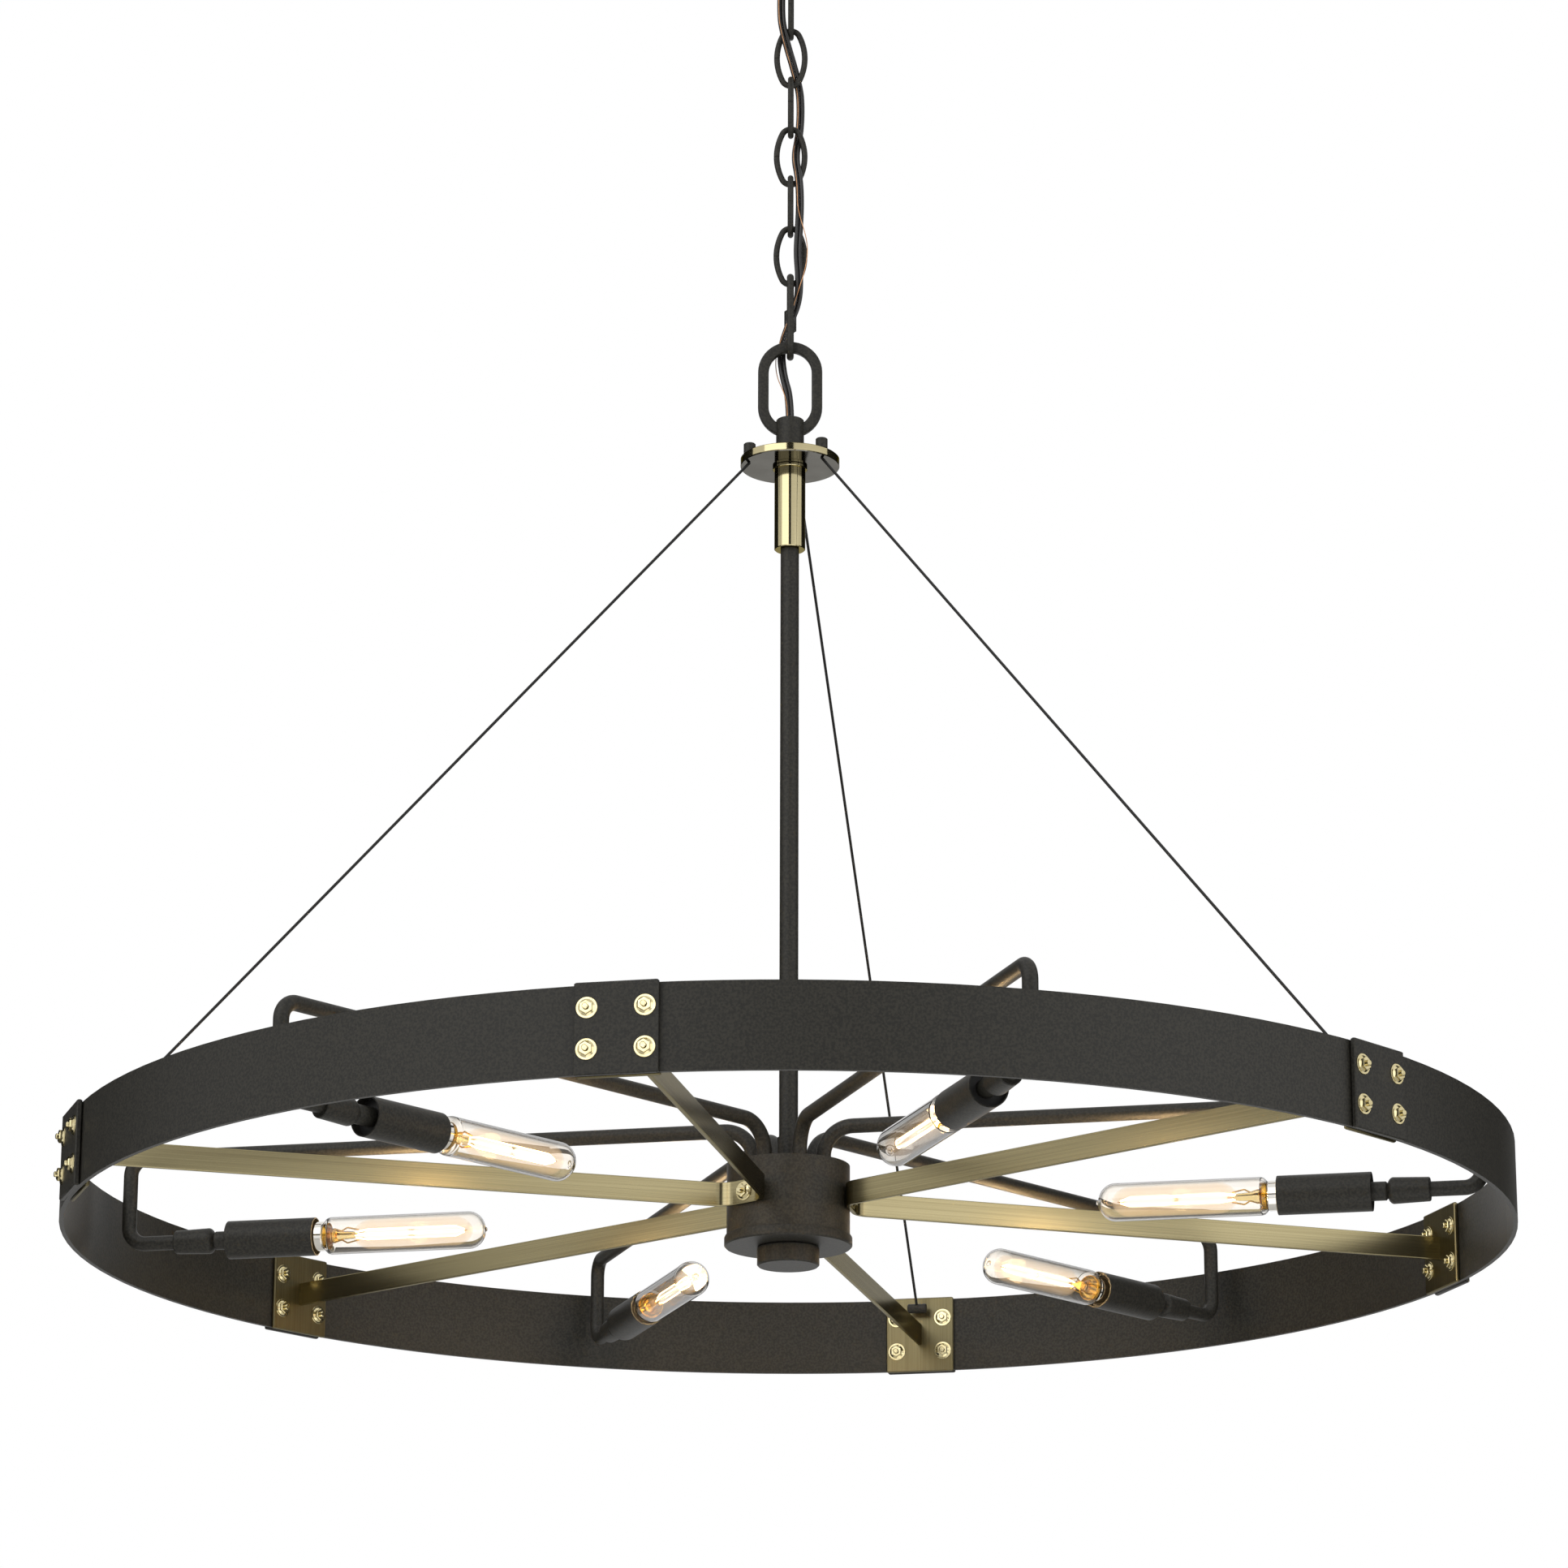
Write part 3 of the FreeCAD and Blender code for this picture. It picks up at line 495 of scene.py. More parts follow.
CHARCOAL = painted("charcoal_paint", srgb(27, 26, 22), srgb(44, 42, 36), roughness=0.52)
SLEEVE_BRASS = metal(
    "sleeve_brass", srgb(180, 169, 131), srgb(192, 181, 144), roughness=0.1,
    fineness=(4, 4, 2400), scale=1, bump=0.02, edge=0.1,
)
# A grey metal, darker than the brass disc above it: painted reflection on the disc's underside
UNDERSIDE_PAINTED_REFLECTION = metal(
    "disc_painted_reflection", srgb(118, 116, 110), srgb(126, 124, 118), roughness=0.1,
    scale=60, bump=0.01, edge=0.5,
)
# Brass, darkened below the straps' brass: the inner plates' dark reflection is painted into their colour
PLATE_BRASS_PAINTED_REFLECTION = metal(
    "plate_brass_painted_reflection", srgb(104, 96, 70), srgb(120, 112, 84), roughness=0.32,
    fineness=(2400, 2400, 12), scale=1, bump=0.02, edge=0.5,
)
SPOKE_BRASS = metal(
    "spoke_brass", srgb(140, 130, 98), srgb(156, 146, 112), roughness=0.2,
    fineness=(5, 5, 2000), scale=1, bump=0.02, edge=0.45,
)
BRIGHT = metal("bright_brass", srgb(206, 192, 146), srgb(222, 210, 168), roughness=0.16, edge=0.3)
ZINC = metal("zinc_steel", srgb(150, 150, 150), srgb(185, 185, 185), roughness=0.4)
CABLE = painted("cable_black", srgb(10, 10, 9), srgb(20, 19, 17), roughness=0.5)
SOCKET = plain("socket_black", srgb(24, 23, 22), roughness=0.5)
CHROME = plain("bulb_chrome", srgb(225, 222, 215), roughness=0.08, metallic=1)
# Both glasses get painted shade at their outlines, down to edge; the stem's amber tint is a painted warm
# reflection of the skirt
GLASS = clear_glass("clear_glass", (1, 0.965, 0.915, 1), (1, 0.98, 0.945, 1), bend=1.33, edge=0.02)
STEM_GLASS_PAINTED_REFLECTION = clear_glass("stem_glass_painted_reflection", srgb(238, 214, 150), srgb(244, 222, 164), bend=1.3, edge=0.3)
LEAD_GOLD = metal("lead_gold", srgb(150, 112, 34), srgb(186, 146, 52), roughness=0.25, edge=0.3)
GLOW = glowing("filament_glow", (1, 0.62, 0.24, 1), strength=22)
# Painted glow: shells round the filaments that give off light, bright close round the wire and warm through
# most of the bulb
PAINTED_GLARE = painted_glow_material("filament_painted_glare", (1, 0.92, 0.74, 1), strength=2, thickest=0.9)
PAINTED_WARM_GLOW = painted_glow_material("warm_painted_glow", (1, 0.7, 0.4, 1), strength=0.95, thickest=0.4)
CORD_BLACK = plain("cord_black", srgb(24, 22, 21), roughness=0.35)
COPPER = metal("bare_copper", srgb(150, 108, 76), srgb(190, 146, 108), roughness=0.3)

cad_looks = {
    "canopy": CHARCOAL, "mounting_bar": ZINC, "canopy_nipple": ZINC, "canopy_eye": CHARCOAL,
    "gate_nut": CHARCOAL, "rim_band": CHARCOAL, "hub_drum": CHARCOAL, "down_rod": CHARCOAL,
    "socket_inserts": SOCKET,
}
for node, look in cad_looks.items():
    finish_mesh(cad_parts[node].data, look, SHARP_METAL)


# Hanging line
def oval_path(half_length, half_width, end_radius, steps=14):
    """A link's closed centre line: round ends, and sides bowed outwards."""
    reach = half_length - end_radius
    side_radius = (half_width**2 + reach**2 - end_radius**2) / (2 * (half_width - end_radius))
    lean = math.atan2(reach, side_radius - half_width)
    offset = Vector((half_width - side_radius, 0, 0))
    top = Vector((0, 0, reach))
    path = arc(offset, side_radius, -lean, 2 * lean, steps)[:-1]
    path += arc(top, end_radius, lean, HALF_TURN - 2 * lean, steps)[:-1]
    path += arc(-offset, side_radius, HALF_TURN - lean, 2 * lean, steps)[:-1]
    path += arc(-top, end_radius, HALF_TURN + lean, HALF_TURN - 2 * lean, steps)[:-1]
    return path


def stadium_path(half_length, half_width, steps=24):
    """A closed line of two straight sides and two half circles."""
    straight = Vector((0, 0, half_length - half_width))
    path = arc(straight, half_width, 0, HALF_TURN, steps)
    return path + arc(-straight, half_width, HALF_TURN, HALF_TURN, steps)


def link_place(node):
    """Where a link hangs, turned a quarter where it is seen from its edge."""
    low, high = node_box(node)
    edge_on = high.x - low.x < high.y - low.y
    turn = Matrix.Rotation(QUARTER_TURN if edge_on else 0, 4, "Z")
    middle = (low.z + high.z) / 2
    width = max(high.x - low.x, high.y - low.y)
    return Matrix.Translation((0, 0, middle)) @ turn, (high.z - low.z) / 2, width / 2, middle


def seamed(path, left, narrowing=0.86):
    """The path and its widths with a narrow seam halfway down the left side, where the wire's ends meet."""
    seam = min(range(len(path)), key=lambda i: (path[i] - Vector((left, 0, 0))).length)
    groove = [path[seam] - UP * (size.seam_width / 2), path[seam] - UP * size.seam_width]
    path = path[: seam + 1] + groove + path[seam + 1 :]
    widths = [1] * len(path)
    widths[seam + 1] = narrowing
    return path, widths


def chain_link(number):
    """Makes a link, and gives back the level of its middle."""
    node = "chain_link_%d" % number
    place, half_length, half_width, middle = link_place(node)
    wire = size.link_wire / 2
    path = oval_path(half_length - wire, half_width - wire, size.link_end_radius)
    path, widths = seamed(path, wire - half_width)
    link = swept(path, circle(wire), closed=True, widths=widths)
    make(node + "_round", moved(link, place), CHARCOAL, "body_" + node, [node])
    return middle


def quick_link():
    """Makes the quick link, and gives back the level of its middle."""
    place, half_length, half_width, middle = link_place("quick_link")
    wire = size.quick_wire / 2
    link = swept(stadium_path(half_length - wire, half_width - wire), circle(wire), closed=True)
    make("quick_link_round", moved(link, place), CHARCOAL, QUICK_LINK, ["quick_link"])
    return middle


def hanging_loop():
    """The loop with its flattened sides, and the boss that takes the rod and the cord."""
    low, high = node_box("hanging_loop")
    band = size.loop_band / 2
    half_height, half_width = size.loop_height / 2, (high.x - low.x) / 2
    line = stadium_path(half_height - band, half_width - band)
    loop = swept(line, squared_oval(band, size.loop_thick / 2), closed=True)
    boss_radius, boss_top, bore, rod = size.boss_radius, size.boss_height, size.boss_bore, size.rod_radius
    outside = stepped([(boss_radius, 0), (boss_radius, boss_top), (bore, boss_top)], size.boss_edge)
    boss = lathed([(rod, 0), *outside, (bore, size.rod_insert), (rod, size.rod_insert), (rod, 0)])
    return joined([raised(loop, high.z - half_height), raised(boss, low.z)])


link_levels = [chain_link(number) for number in range(1, LINKS + 1)]
quick_level = quick_link()
make("hanging_loop_round", hanging_loop(), CHARCOAL, WHEEL, ["hanging_loop"])

# Cable disc, its underside and the polished sleeve below it
disc_radius = round_node("cable_disc")[0]
disc_foot = RIM_LEVEL + size.disc_height


def cable_disc():
    rod, face, top = size.rod_radius, size.disc_face, size.disc_thick
    corners = [(rod, face), (disc_radius, face), (disc_radius, top), (rod, top)]
    return lathed(stepped(corners, size.disc_edge) + [(rod, face)], segments=96)


def disc_underside():
    """The face under the disc, with a slanting edge, darker as a painted reflection."""
    rod, face = size.rod_radius, size.disc_face
    corners = [(rod, 0), (disc_radius - face, 0), (disc_radius, face), (rod, face), (rod, 0)]
    return lathed(corners, segments=96)


def rod_sleeve(length):
    """A tube round the rod with a wider ring at its top."""
    rod, tube, ring = size.rod_radius, size.sleeve_radius, size.sleeve_ring_radius
    tube_edge, ring_edge = size.sleeve_edge, size.sleeve_ring_edge
    foot, ring_foot = -size.sleeve_below, length - size.sleeve_ring
    outline = [(rod, foot), (tube - tube_edge, foot), (tube, foot + tube_edge), (tube, ring_foot)]
    outline += [(ring - ring_edge, ring_foot), (ring, ring_foot + ring_edge)]
    outline += [(ring, length - ring_edge), (ring - ring_edge, length), (rod, length), (rod, foot)]
    return lathed(outline, segments=96)


make("cable_disc_soft", raised(cable_disc(), disc_foot), SLEEVE_BRASS, WHEEL, ["cable_disc"])
# The underside's darker grey is a painted reflection
make("disc_underside", raised(disc_underside(), disc_foot), UNDERSIDE_PAINTED_REFLECTION, WHEEL)
sleeve_foot, sleeve_length = round_node("rod_sleeve")[1:]
sleeve = raised(rod_sleeve(sleeve_length), sleeve_foot)
make("rod_sleeve_soft", sleeve, SLEEVE_BRASS, WHEEL, ["rod_sleeve"], SHARP_METAL)

# Cables with their grips on the disc and their clamps on the inner plates
grip = round_bar(size.grip_radius, 0, size.grip_height, size.grip_edge, segments=24)
grip_place = Matrix.Translation((size.grip_circle, 0, size.disc_height + size.disc_thick))
make("cable_grips_round", at_each(cable_angles, grip, grip_place), CHARCOAL, WHEEL, ["cable_grips"])


def suspension_cable():
    clamp = Vector((clamp_centre, 0, size.clamp_height))
    top = Vector((size.grip_circle, 0, size.disc_height))
    along = (clamp - top).normalized()
    foot = clamp - along * (size.clamp_radius - size.cable_insert)
    return swept([top, foot], circle(size.cable_radius, 12))


def cable_clamp():
    """A barrel that lies across the cable, and the lug that holds it off the plate."""
    half = size.clamp_length / 2
    barrel = round_bar(size.clamp_radius, -half, half, size.clamp_edge, segments=24)
    lie = Matrix.Translation((clamp_centre, 0, size.clamp_height)) @ Matrix.Rotation(QUARTER_TURN, 4, "X")
    lug_length = size.clamp_reach + size.clamp_radius
    lug = soft_box(lug_length, half, size.clamp_radius, size.lug_edge)
    lug_place = Matrix.Translation((clamp_centre + lug_length / 2, 0, size.clamp_height))
    return joined([moved(barrel, lie), moved(lug, lug_place)])


make_each("suspension_cable", "_round", suspension_cable(), cable_angles, CABLE)
clamps = at_each(cable_angles, cable_clamp(), Matrix.Identity(4))
make("cable_clamps_round", clamps, CHARCOAL, WHEEL, ["cable_clamps"])


# Hub cover and finial with softened edges
def hub_cover(radius, lip):
    """A shallow dish that fits round the foot of the drum."""
    drum, wall = size.hub_radius, size.cover_wall
    outside = stepped([(0, 0), (radius, 0), (radius, lip), (drum, lip)], size.hub_edge)
    return lathed([*outside, (drum, wall), (0, wall)], segments=96)


cover_radius, cover_foot, cover_lip = round_node("hub_cover")
cover = raised(hub_cover(cover_radius, cover_lip), cover_foot)
make("hub_cover_soft", cover, CHARCOAL, WHEEL, ["hub_cover"])
finial_radius, finial_foot, finial_height = round_node("finial")
finial = raised(round_bar(finial_radius, 0, finial_height, size.hub_edge, segments=72), finial_foot)
make("finial_soft", finial, CHARCOAL, WHEEL, ["finial"])


# Rim plates and their bolts
def plates(thick, back):
    plate = soft_box(thick, size.plate_width, size.plate_height, size.plate_edge)
    return at_each(bracket_angles, plate, Matrix.Translation((back + thick / 2, 0, 0)))


def hexagon(across, chamfer, height):
    """A hexagonal nut with both ends chamfered, as a lathe of six sides."""
    corner = across / math.sqrt(3)
    side = [(corner, chamfer), (corner, height - chamfer)]
    end = corner - chamfer
    return lathed([(0, 0), (end, 0), *side, (end, height), (0, height)], segments=6)


def flange_nut():
    """Flange, hexagon and the bolt's end, standing along +Z."""
    radius, thick, edge = size.flange_radius, size.flange, size.flange_edge
    slope_top = thick + size.flange_slope
    rim = [(radius, 0), (radius, thick - edge), (radius - edge, thick), (radius - size.flange_flat, thick)]
    flange = lathed([(0, 0), *rim, (size.nut_across / 2, slope_top), (0, slope_top)], segments=32)
    nut = hexagon(size.nut_across, size.nut_edge, size.nut_thick)
    end = round_bar(size.bolt_radius, 0, size.nut_thick + size.bolt_end, size.bolt_edge, segments=16)
    return joined([flange, nut, end])


def bracket_bolts():
    """Four nuts on the outer and four on the inner plate of each bracket."""
    nut = flange_nut()
    faces = ((RIM_RADIUS + size.outer_plate, 1), (inner_plate_face, -1))
    places = []
    for across, up, (face, outwards) in product((-1, 1), (-1, 1), faces):
        spot = Matrix.Translation((face, across * size.bolt_across / 2, up * size.bolt_up / 2))
        places.append(spot @ Matrix.Rotation(outwards * QUARTER_TURN, 4, "Y"))
    return joined([moved(nut, turned(angle) @ place) for angle in bracket_angles for place in places])


def hub_bolts():
    """A nut on the middle of each strap."""
    place = Matrix.Translation((size.hub_radius + size.spoke_thick, 0, 0))
    return at_each(spoke_angles, flange_nut(), place @ Matrix.Rotation(QUARTER_TURN, 4, "Y"))


make("outer_plates_soft", plates(size.outer_plate, RIM_RADIUS), CHARCOAL, WHEEL, ["outer_plates"])
# The inner plates' darker brass is a painted dark reflection
make("inner_plates_soft", plates(size.inner_plate, inner_plate_face), PLATE_BRASS_PAINTED_REFLECTION, WHEEL, ["inner_plates"])
make("bracket_bolts_detailed", bracket_bolts(), BRIGHT, WHEEL, ["bracket_bolts"], SHARP_METAL)
make("hub_bolts_detailed", hub_bolts(), BRIGHT, WHEEL, ["hub_bolts"], SHARP_METAL)


# Spokes
def spoke_strap():
    """One strip from the rim to the hub's side and back to the rim."""
    middle = size.hub_radius + size.spoke_thick / 2
    half = size.spoke_base / 2
    lean = math.radians(SECTOR / 2)
    reach, spread = inner_plate_face * math.cos(lean), inner_plate_face * math.sin(lean)
    corners = [(reach, -spread), (middle, -half), (middle, half), (reach, spread)]
    path = tangent_path([Vector((x, y, 0)) for x, y in corners], [size.spoke_bend] * 2)
    return swept(path, soft_rectangle(size.spoke_thick, size.spoke_width, size.spoke_edge), normal=UP)


make_each("spoke", "_strap", spoke_strap(), spoke_angles, SPOKE_BRASS)


# Lamp arms
def arm_tube():
    """Up from the hub, out over the wheel, down beside the rim, and back in to the lamp."""
    root, end = size.arm_root_bend, size.arm_end_bend
    corners = [
        (size.arm_circle, size.hub_top), (size.arm_circle, size.arm_rise), (size.arm_reach, size.arm_rise),
        (size.arm_reach, lamp_height), (size.coupling_start, lamp_height),
    ]
    path = tangent_path([Vector((out, 0, height)) for out, height in corners], [root, end, end], steps=14)
    return swept(path, circle(size.arm_radius, 28))


make_each("arm", "_tube", arm_tube(), arm_angles, CHARCOAL)


# Lamps: each piece stands along its own +Z, which points to the lamp's axis
def facing_in(radius):
    return Matrix.Translation((radius, 0, lamp_height)) @ Matrix.Rotation(-QUARTER_TURN, 4, "Y")


def at_each_arm(shape, radius):
    return at_each(arm_angles, shape, facing_in(radius))


nose_front = size.coupling_length + size.nose_length
shade_back = size.coupling_start - nose_front + size.shade_recess
insert_front = shade_back - size.shade_recess - size.insert_length
glass_back = insert_front - size.skirt_length
screw_end = size.screw_start + size.screw_length


def coupling(rounding_steps=6):
    """A cone with a rounded shoulder, and the nose that goes into the shade."""
    back, front, nose = size.coupling_back_radius, size.coupling_front_radius, size.nose_radius
    shoulder = size.coupling_length - size.coupling_shoulder
    cone = [(0, 0), (back - size.coupling_edge, 0), (back, size.coupling_slope), (front, shoulder)]
    rounding = dome(front, size.coupling_dome, shoulder)[:rounding_steps]
    return lathed([*cone, *rounding, (nose, size.coupling_length), (nose, nose_front), (0, nose_front)], 32)


def shade():
    """A thin tube, open at both ends."""
    outer, inner = size.shade_radius, size.shade_radius - size.shade_wall
    length, edge = size.shade_length, size.shade_edge
    outside = [(outer - edge, 0), (outer, edge), (outer, length - edge), (outer - edge, length)]
    return lathed([(inner, 0), *outside, (inner, length), (inner, 0)])


def bulb_base(turns=6):
    """Threaded shell inside the socket, then the plain skirt under the glass."""
    profile = [(0, 0), (size.contact_radius, 0)]
    for k in range(turns * 2 + 1):
        radius = size.screw_radius - size.screw_depth * (k % 2)
        profile.append((radius, size.screw_start + size.screw_length * k / (turns * 2)))
    skirt, edge, top = size.skirt_radius, size.skirt_edge, screw_end + size.skirt_length
    profile += [(skirt, screw_end + size.skirt_flare), (skirt, top - edge), (skirt - edge, top), (0, top)]
    return lathed(profile, segments=36)


def bulb_glass(ring_inset=1):
    """Outside from the skirt to the seal's tip, then back along the inside."""
    mouth, radius, wall = size.glass_mouth_radius, size.glass_radius, size.glass_wall
    length, shoulder, seal = size.glass_length, size.glass_shoulder, size.seal
    straight_end = length - radius
    # A ring just inside each end keeps the bend of shoulder and dome out of the straight part's shading
    straight = [shoulder, shoulder + ring_inset, straight_end - ring_inset, straight_end]
    neck_end = (radius - size.glass_neck_edge, shoulder * 7 / 12)
    neck = [(mouth, 0), (size.glass_neck_radius, shoulder / 4), neck_end]
    outside = neck + [(radius, height) for height in straight] + dome(radius, radius - seal, straight_end)
    tip = [(size.tip_root_radius, length - size.tip_length), (size.tip_radius, length), (0, length)]
    inside = [(0, length - seal - wall)]
    inside += list(reversed(dome(radius - wall, radius - seal - wall, straight_end)))
    inside += [(radius - wall, height) for height in reversed(straight)]
    inside += [(mouth - wall, size.glass_lip), (mouth, 0)]
    return lathed(outside + tip + inside)


# What is inside a bulb: radii of wires, outlines as (out from the axis, height from the glass's foot)
LEAD_WIRE = 0.5
FILAMENT_WIRE = 0.45
SUPPORT_WIRE = 0.4
STEM_OUTLINE = [(0, 0.6), (8, 0.6), (8, 2), (5, 6), (3, 11), (2.4, 20), (1.2, 23), (0, 23)]
LEAD_RING = [(8.2, 0.8), (8.9, 0.8), (8.9, 3.6), (8.2, 3.6), (8.2, 0.8)]
LEAD_LINE = [(3.4, 0.8), (4.6, 7), (2.9, 12), (5.2, 16), (3.4, 24)]
LEAD_ASIDE = 0.6
LEAD_BEND = 1.5
FILAMENT_LINE = [(2, 22), (3.4, 30), (3.4, 92), (1, 98)]
FILAMENT_BENDS = [6, 3]
# How far round the axis the first leg stands, in radians, and a direction that no leg runs along
FILAMENT_TURN = 0.4
FILAMENT_NORMAL = Vector((0.3, 1, 0.2))
SUPPORT_HEIGHTS = [23, 60, 100]
# Stretches that the painted glow covers: a bright glare round each lit stretch, and a warm glow round both
BRIGHT_STRETCHES = [(27, 60), (62, 96)]
WARM_STRETCH = (20, 104)


def leads():
    """The gold ring at the stem's foot and the two bent wires up to the filament."""
    made = [lathed(LEAD_RING, segments=32)]
    for side in (-1, 1):
        corners = [Vector((side * out, side * LEAD_ASIDE, height)) for out, height in LEAD_LINE]
        path = tangent_path(corners, [LEAD_BEND] * 3, steps=4)
        made.append(swept(path, circle(LEAD_WIRE, 8)))
    return joined(made)


def filament(legs=4):
    """Long legs of glowing wire between the stem and the far end."""
    made = []
    for k in range(legs):
        angle = FULL_TURN * k / legs + FILAMENT_TURN
        way = Vector((math.cos(angle), math.sin(angle), 0))
        corners = [way * out + UP * height for out, height in FILAMENT_LINE]
        path = tangent_path(corners, FILAMENT_BENDS, steps=6)
        made.append(swept(path, circle(FILAMENT_WIRE, 8), normal=FILAMENT_NORMAL))
    return joined(made)


def support():
    """The thin wire up the middle."""
    return swept([UP * height for height in SUPPORT_HEIGHTS], circle(SUPPORT_WIRE, 8))


def painted_glow_shapes(radius, end, stretches):
    """Shells of painted glow where the lit stretches of filament outshine the glass round them, each with
    two rounded ends.
    """
    made = []
    for low, high in stretches:
        foot = [(across, low + end - up) for across, up in reversed(dome(radius, end, 0, 6))]
        top = dome(radius, end, high - end, 6)
        made.append(lathed([(0, low), *foot, (radius, low + end), *top, (0, high)], segments=24))
    return joined(made)


make("couplings_turned", at_each_arm(coupling(), size.coupling_start), CHARCOAL, WHEEL, ["couplings"])
make("shades_round", at_each_arm(shade(), shade_back), CHARCOAL, WHEEL, ["shades"])
base_back = insert_front + screw_end
make("bulb_bases_threaded", at_each_arm(bulb_base(), base_back), CHROME, WHEEL, ["bulb_bases"])
blown = make("bulbs_blown", at_each_arm(bulb_glass(), glass_back), GLASS, WHEEL, ["bulbs"])
blown.visible_shadow = False
make("filaments_glowing", at_each_arm(filament(), glass_back), GLOW, WHEEL, ["filaments"])
# Painted glow round the filaments, made of shells that give off light
bright_painted_glare = painted_glow_shapes(radius=4.2, end=7, stretches=BRIGHT_STRETCHES)
make("filament_painted_glare", at_each_arm(bright_painted_glare, glass_back), PAINTED_GLARE, WHEEL)
warm_painted_glow = painted_glow_shapes(radius=10.6, end=14, stretches=[WARM_STRETCH])
make("filament_glow_round", at_each_arm(warm_painted_glow, glass_back), PAINTED_WARM_GLOW, WHEEL)
# The stems' amber is a painted warm reflection of the skirt
make("filament_stems", at_each_arm(lathed(STEM_OUTLINE, segments=24), glass_back), STEM_GLASS_PAINTED_REFLECTION, WHEEL)
make("filament_supports", at_each_arm(support(), glass_back), COPPER, WHEEL)
make("filament_leads", at_each_arm(leads(), glass_back), LEAD_GOLD, WHEEL)


# Supply cord, laced through the chain: across, away from the viewer, and height above the eye's centre
EYE_CENTRE = -73
CORD_ROUTE = [
    (0, 0, 72),
    (0, 0, 34.5),
    (-1.5, -2, 21.5),
    (-6.4, -7, 4.5),
    (-7.2, -6, -16),
    (-6.2, -6, -34),
    (6.2, 6, -73),
    (7.2, 6.2, -92),
    (6.2, 6.4, -110),
    (2.9, 0, -130),
    (6, -6.2, -149),
    (6.8, -7.4, -168),
    (6, -6.8, -187),
    (4.8, -7.2, -206),
    (6.4, -6.6, -224),
    (5.6, -2, -241),
    (0, -0.5, -255),
    (-6.8, 6.4, -274),
    (-5, 4.4, -294),
    (0, 0, -313),
    (0, 0, -336),
]
# Where the earth wire bows out: from one height to another, and how far
EARTH_BOWS = [(-166, -244, size.earth_bow_right), (-262, -322, -size.earth_bow_left)]


def cord_line():
    """The points of the smooth line whose control points are the route's."""
    data = bpy.data.curves.new("cord_route", "CURVE")
    data.dimensions = "3D"
    line = data.splines.new("NURBS")
    line.points.add(len(CORD_ROUTE) - 1)
    for point, (x, y, height) in zip(line.points, CORD_ROUTE):
        point.co = (x * MM, y * MM, (EYE_CENTRE + height) * MM, 1)
    line.order_u = 3
    line.use_endpoint_u = True
    line.resolution_u = 12
    route = bpy.data.objects.new("cord_route", data)
    mesh = bpy.data.meshes.new_from_object(route)
    spots = [vertex.co / MM for vertex in mesh.vertices]
    bpy.data.meshes.remove(mesh)
    bpy.data.curves.remove(data)
    return spots


def beside(path, across, away, bows=()):
    """The line of a strand beside the cord's own; each bow swings it sideways between two heights."""
    centres = []
    for index, point in enumerate(path):
        along = (path[min(index + 1, len(path) - 1)] - path[max(index - 1, 0)]).normalized()
        side = (Vector((1, 0, 0)) - along * along.x).normalized()
        lift = side.cross(along)
        swing = 0
        for top, bottom, reach in bows:
            share = (point.z - EYE_CENTRE - bottom) / (top - bottom)
            swing += reach * math.sin(HALF_TURN * share) ** 2 if 0 < share < 1 else 0
        centres.append(point + side * (across + swing) + lift * away)
    return centres


def cord_stretch(index, first, last):
    """The two cores from one link to the next, as one piece, and the bare earth wire beside them."""
    core = circle(size.core_radius, 14)
    cores = joined([swept(line[first:last], core) for line in (left_core, right_core)])
    wire = swept(earth_wire[first:last], circle(size.earth_radius, 8))
    earth = make("cord_earth_%d" % (index + 1), wire, COPPER, None)
    cord = make("cord_cores_%d" % (index + 1), cores, CORD_BLACK, None)
    for piece in (earth, cord):
        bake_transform(piece)
    return cord


whole_cord = cord_line()
left_core = beside(whole_cord, -size.core_radius, 0)
right_core = beside(whole_cord, size.core_radius, 0)
earth_away = -size.core_radius - size.earth_radius
earth_wire = beside(whole_cord, -size.earth_left, earth_away, EARTH_BOWS)
# The cord is cut at the middle of each link, and the first and last cuts are past its ends
PAST_END = 1
cuts = [whole_cord[0].z + PAST_END, *link_levels, quick_level, whole_cord[-1].z - PAST_END]
for index, (above, below) in enumerate(zip(cuts, cuts[1:])):
    inside = [i for i, point in enumerate(whole_cord) if below <= point.z <= above]
    stretch = cord_stretch(index, max(inside[0] - 1, 0), inside[-1] + 1)
    if index == 0:
        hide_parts("supply_cord")

# Warm light from each bulb, which fades sooner than real light so that the hub stays neutral
BULB_LIGHT = (1, 0.68, 0.34)
BULB_POWER = 3
BULB_LIGHT_HEIGHT = 60
BULB_LIGHT_RADIUS = 10
GLOW_REACH = 0.07
FADING = 1.5


def fade_out(lamp):
    """Past GLOW_REACH metres, the light is also multiplied by (GLOW_REACH / distance) ** FADING."""
    lamp.use_nodes = True
    tree = lamp.node_tree
    rays = tree.nodes.new("ShaderNodeLightPath")
    share = tree.nodes.new("ShaderNodeMath")
    share.operation = "DIVIDE"
    share.use_clamp = True
    share.inputs[0].default_value = GLOW_REACH
    tree.links.new(rays.outputs["Ray Length"], share.inputs[1])
    fall = tree.nodes.new("ShaderNodeMath")
    fall.operation = "POWER"
    fall.inputs[1].default_value = FADING
    tree.links.new(share.outputs["Value"], fall.inputs[0])
    tree.links.new(fall.outputs["Value"], tree.nodes["Emission"].inputs["Strength"])


def add_light(name, kind, power, place):
    """A light at a place in metres; gives back its data and its object."""
    lamp = bpy.data.lights.new(name, kind)
    lamp.energy = power
    light = bpy.data.objects.new(name, lamp)
    bpy.context.scene.collection.objects.link(light)
    light.location = place
    return lamp, light


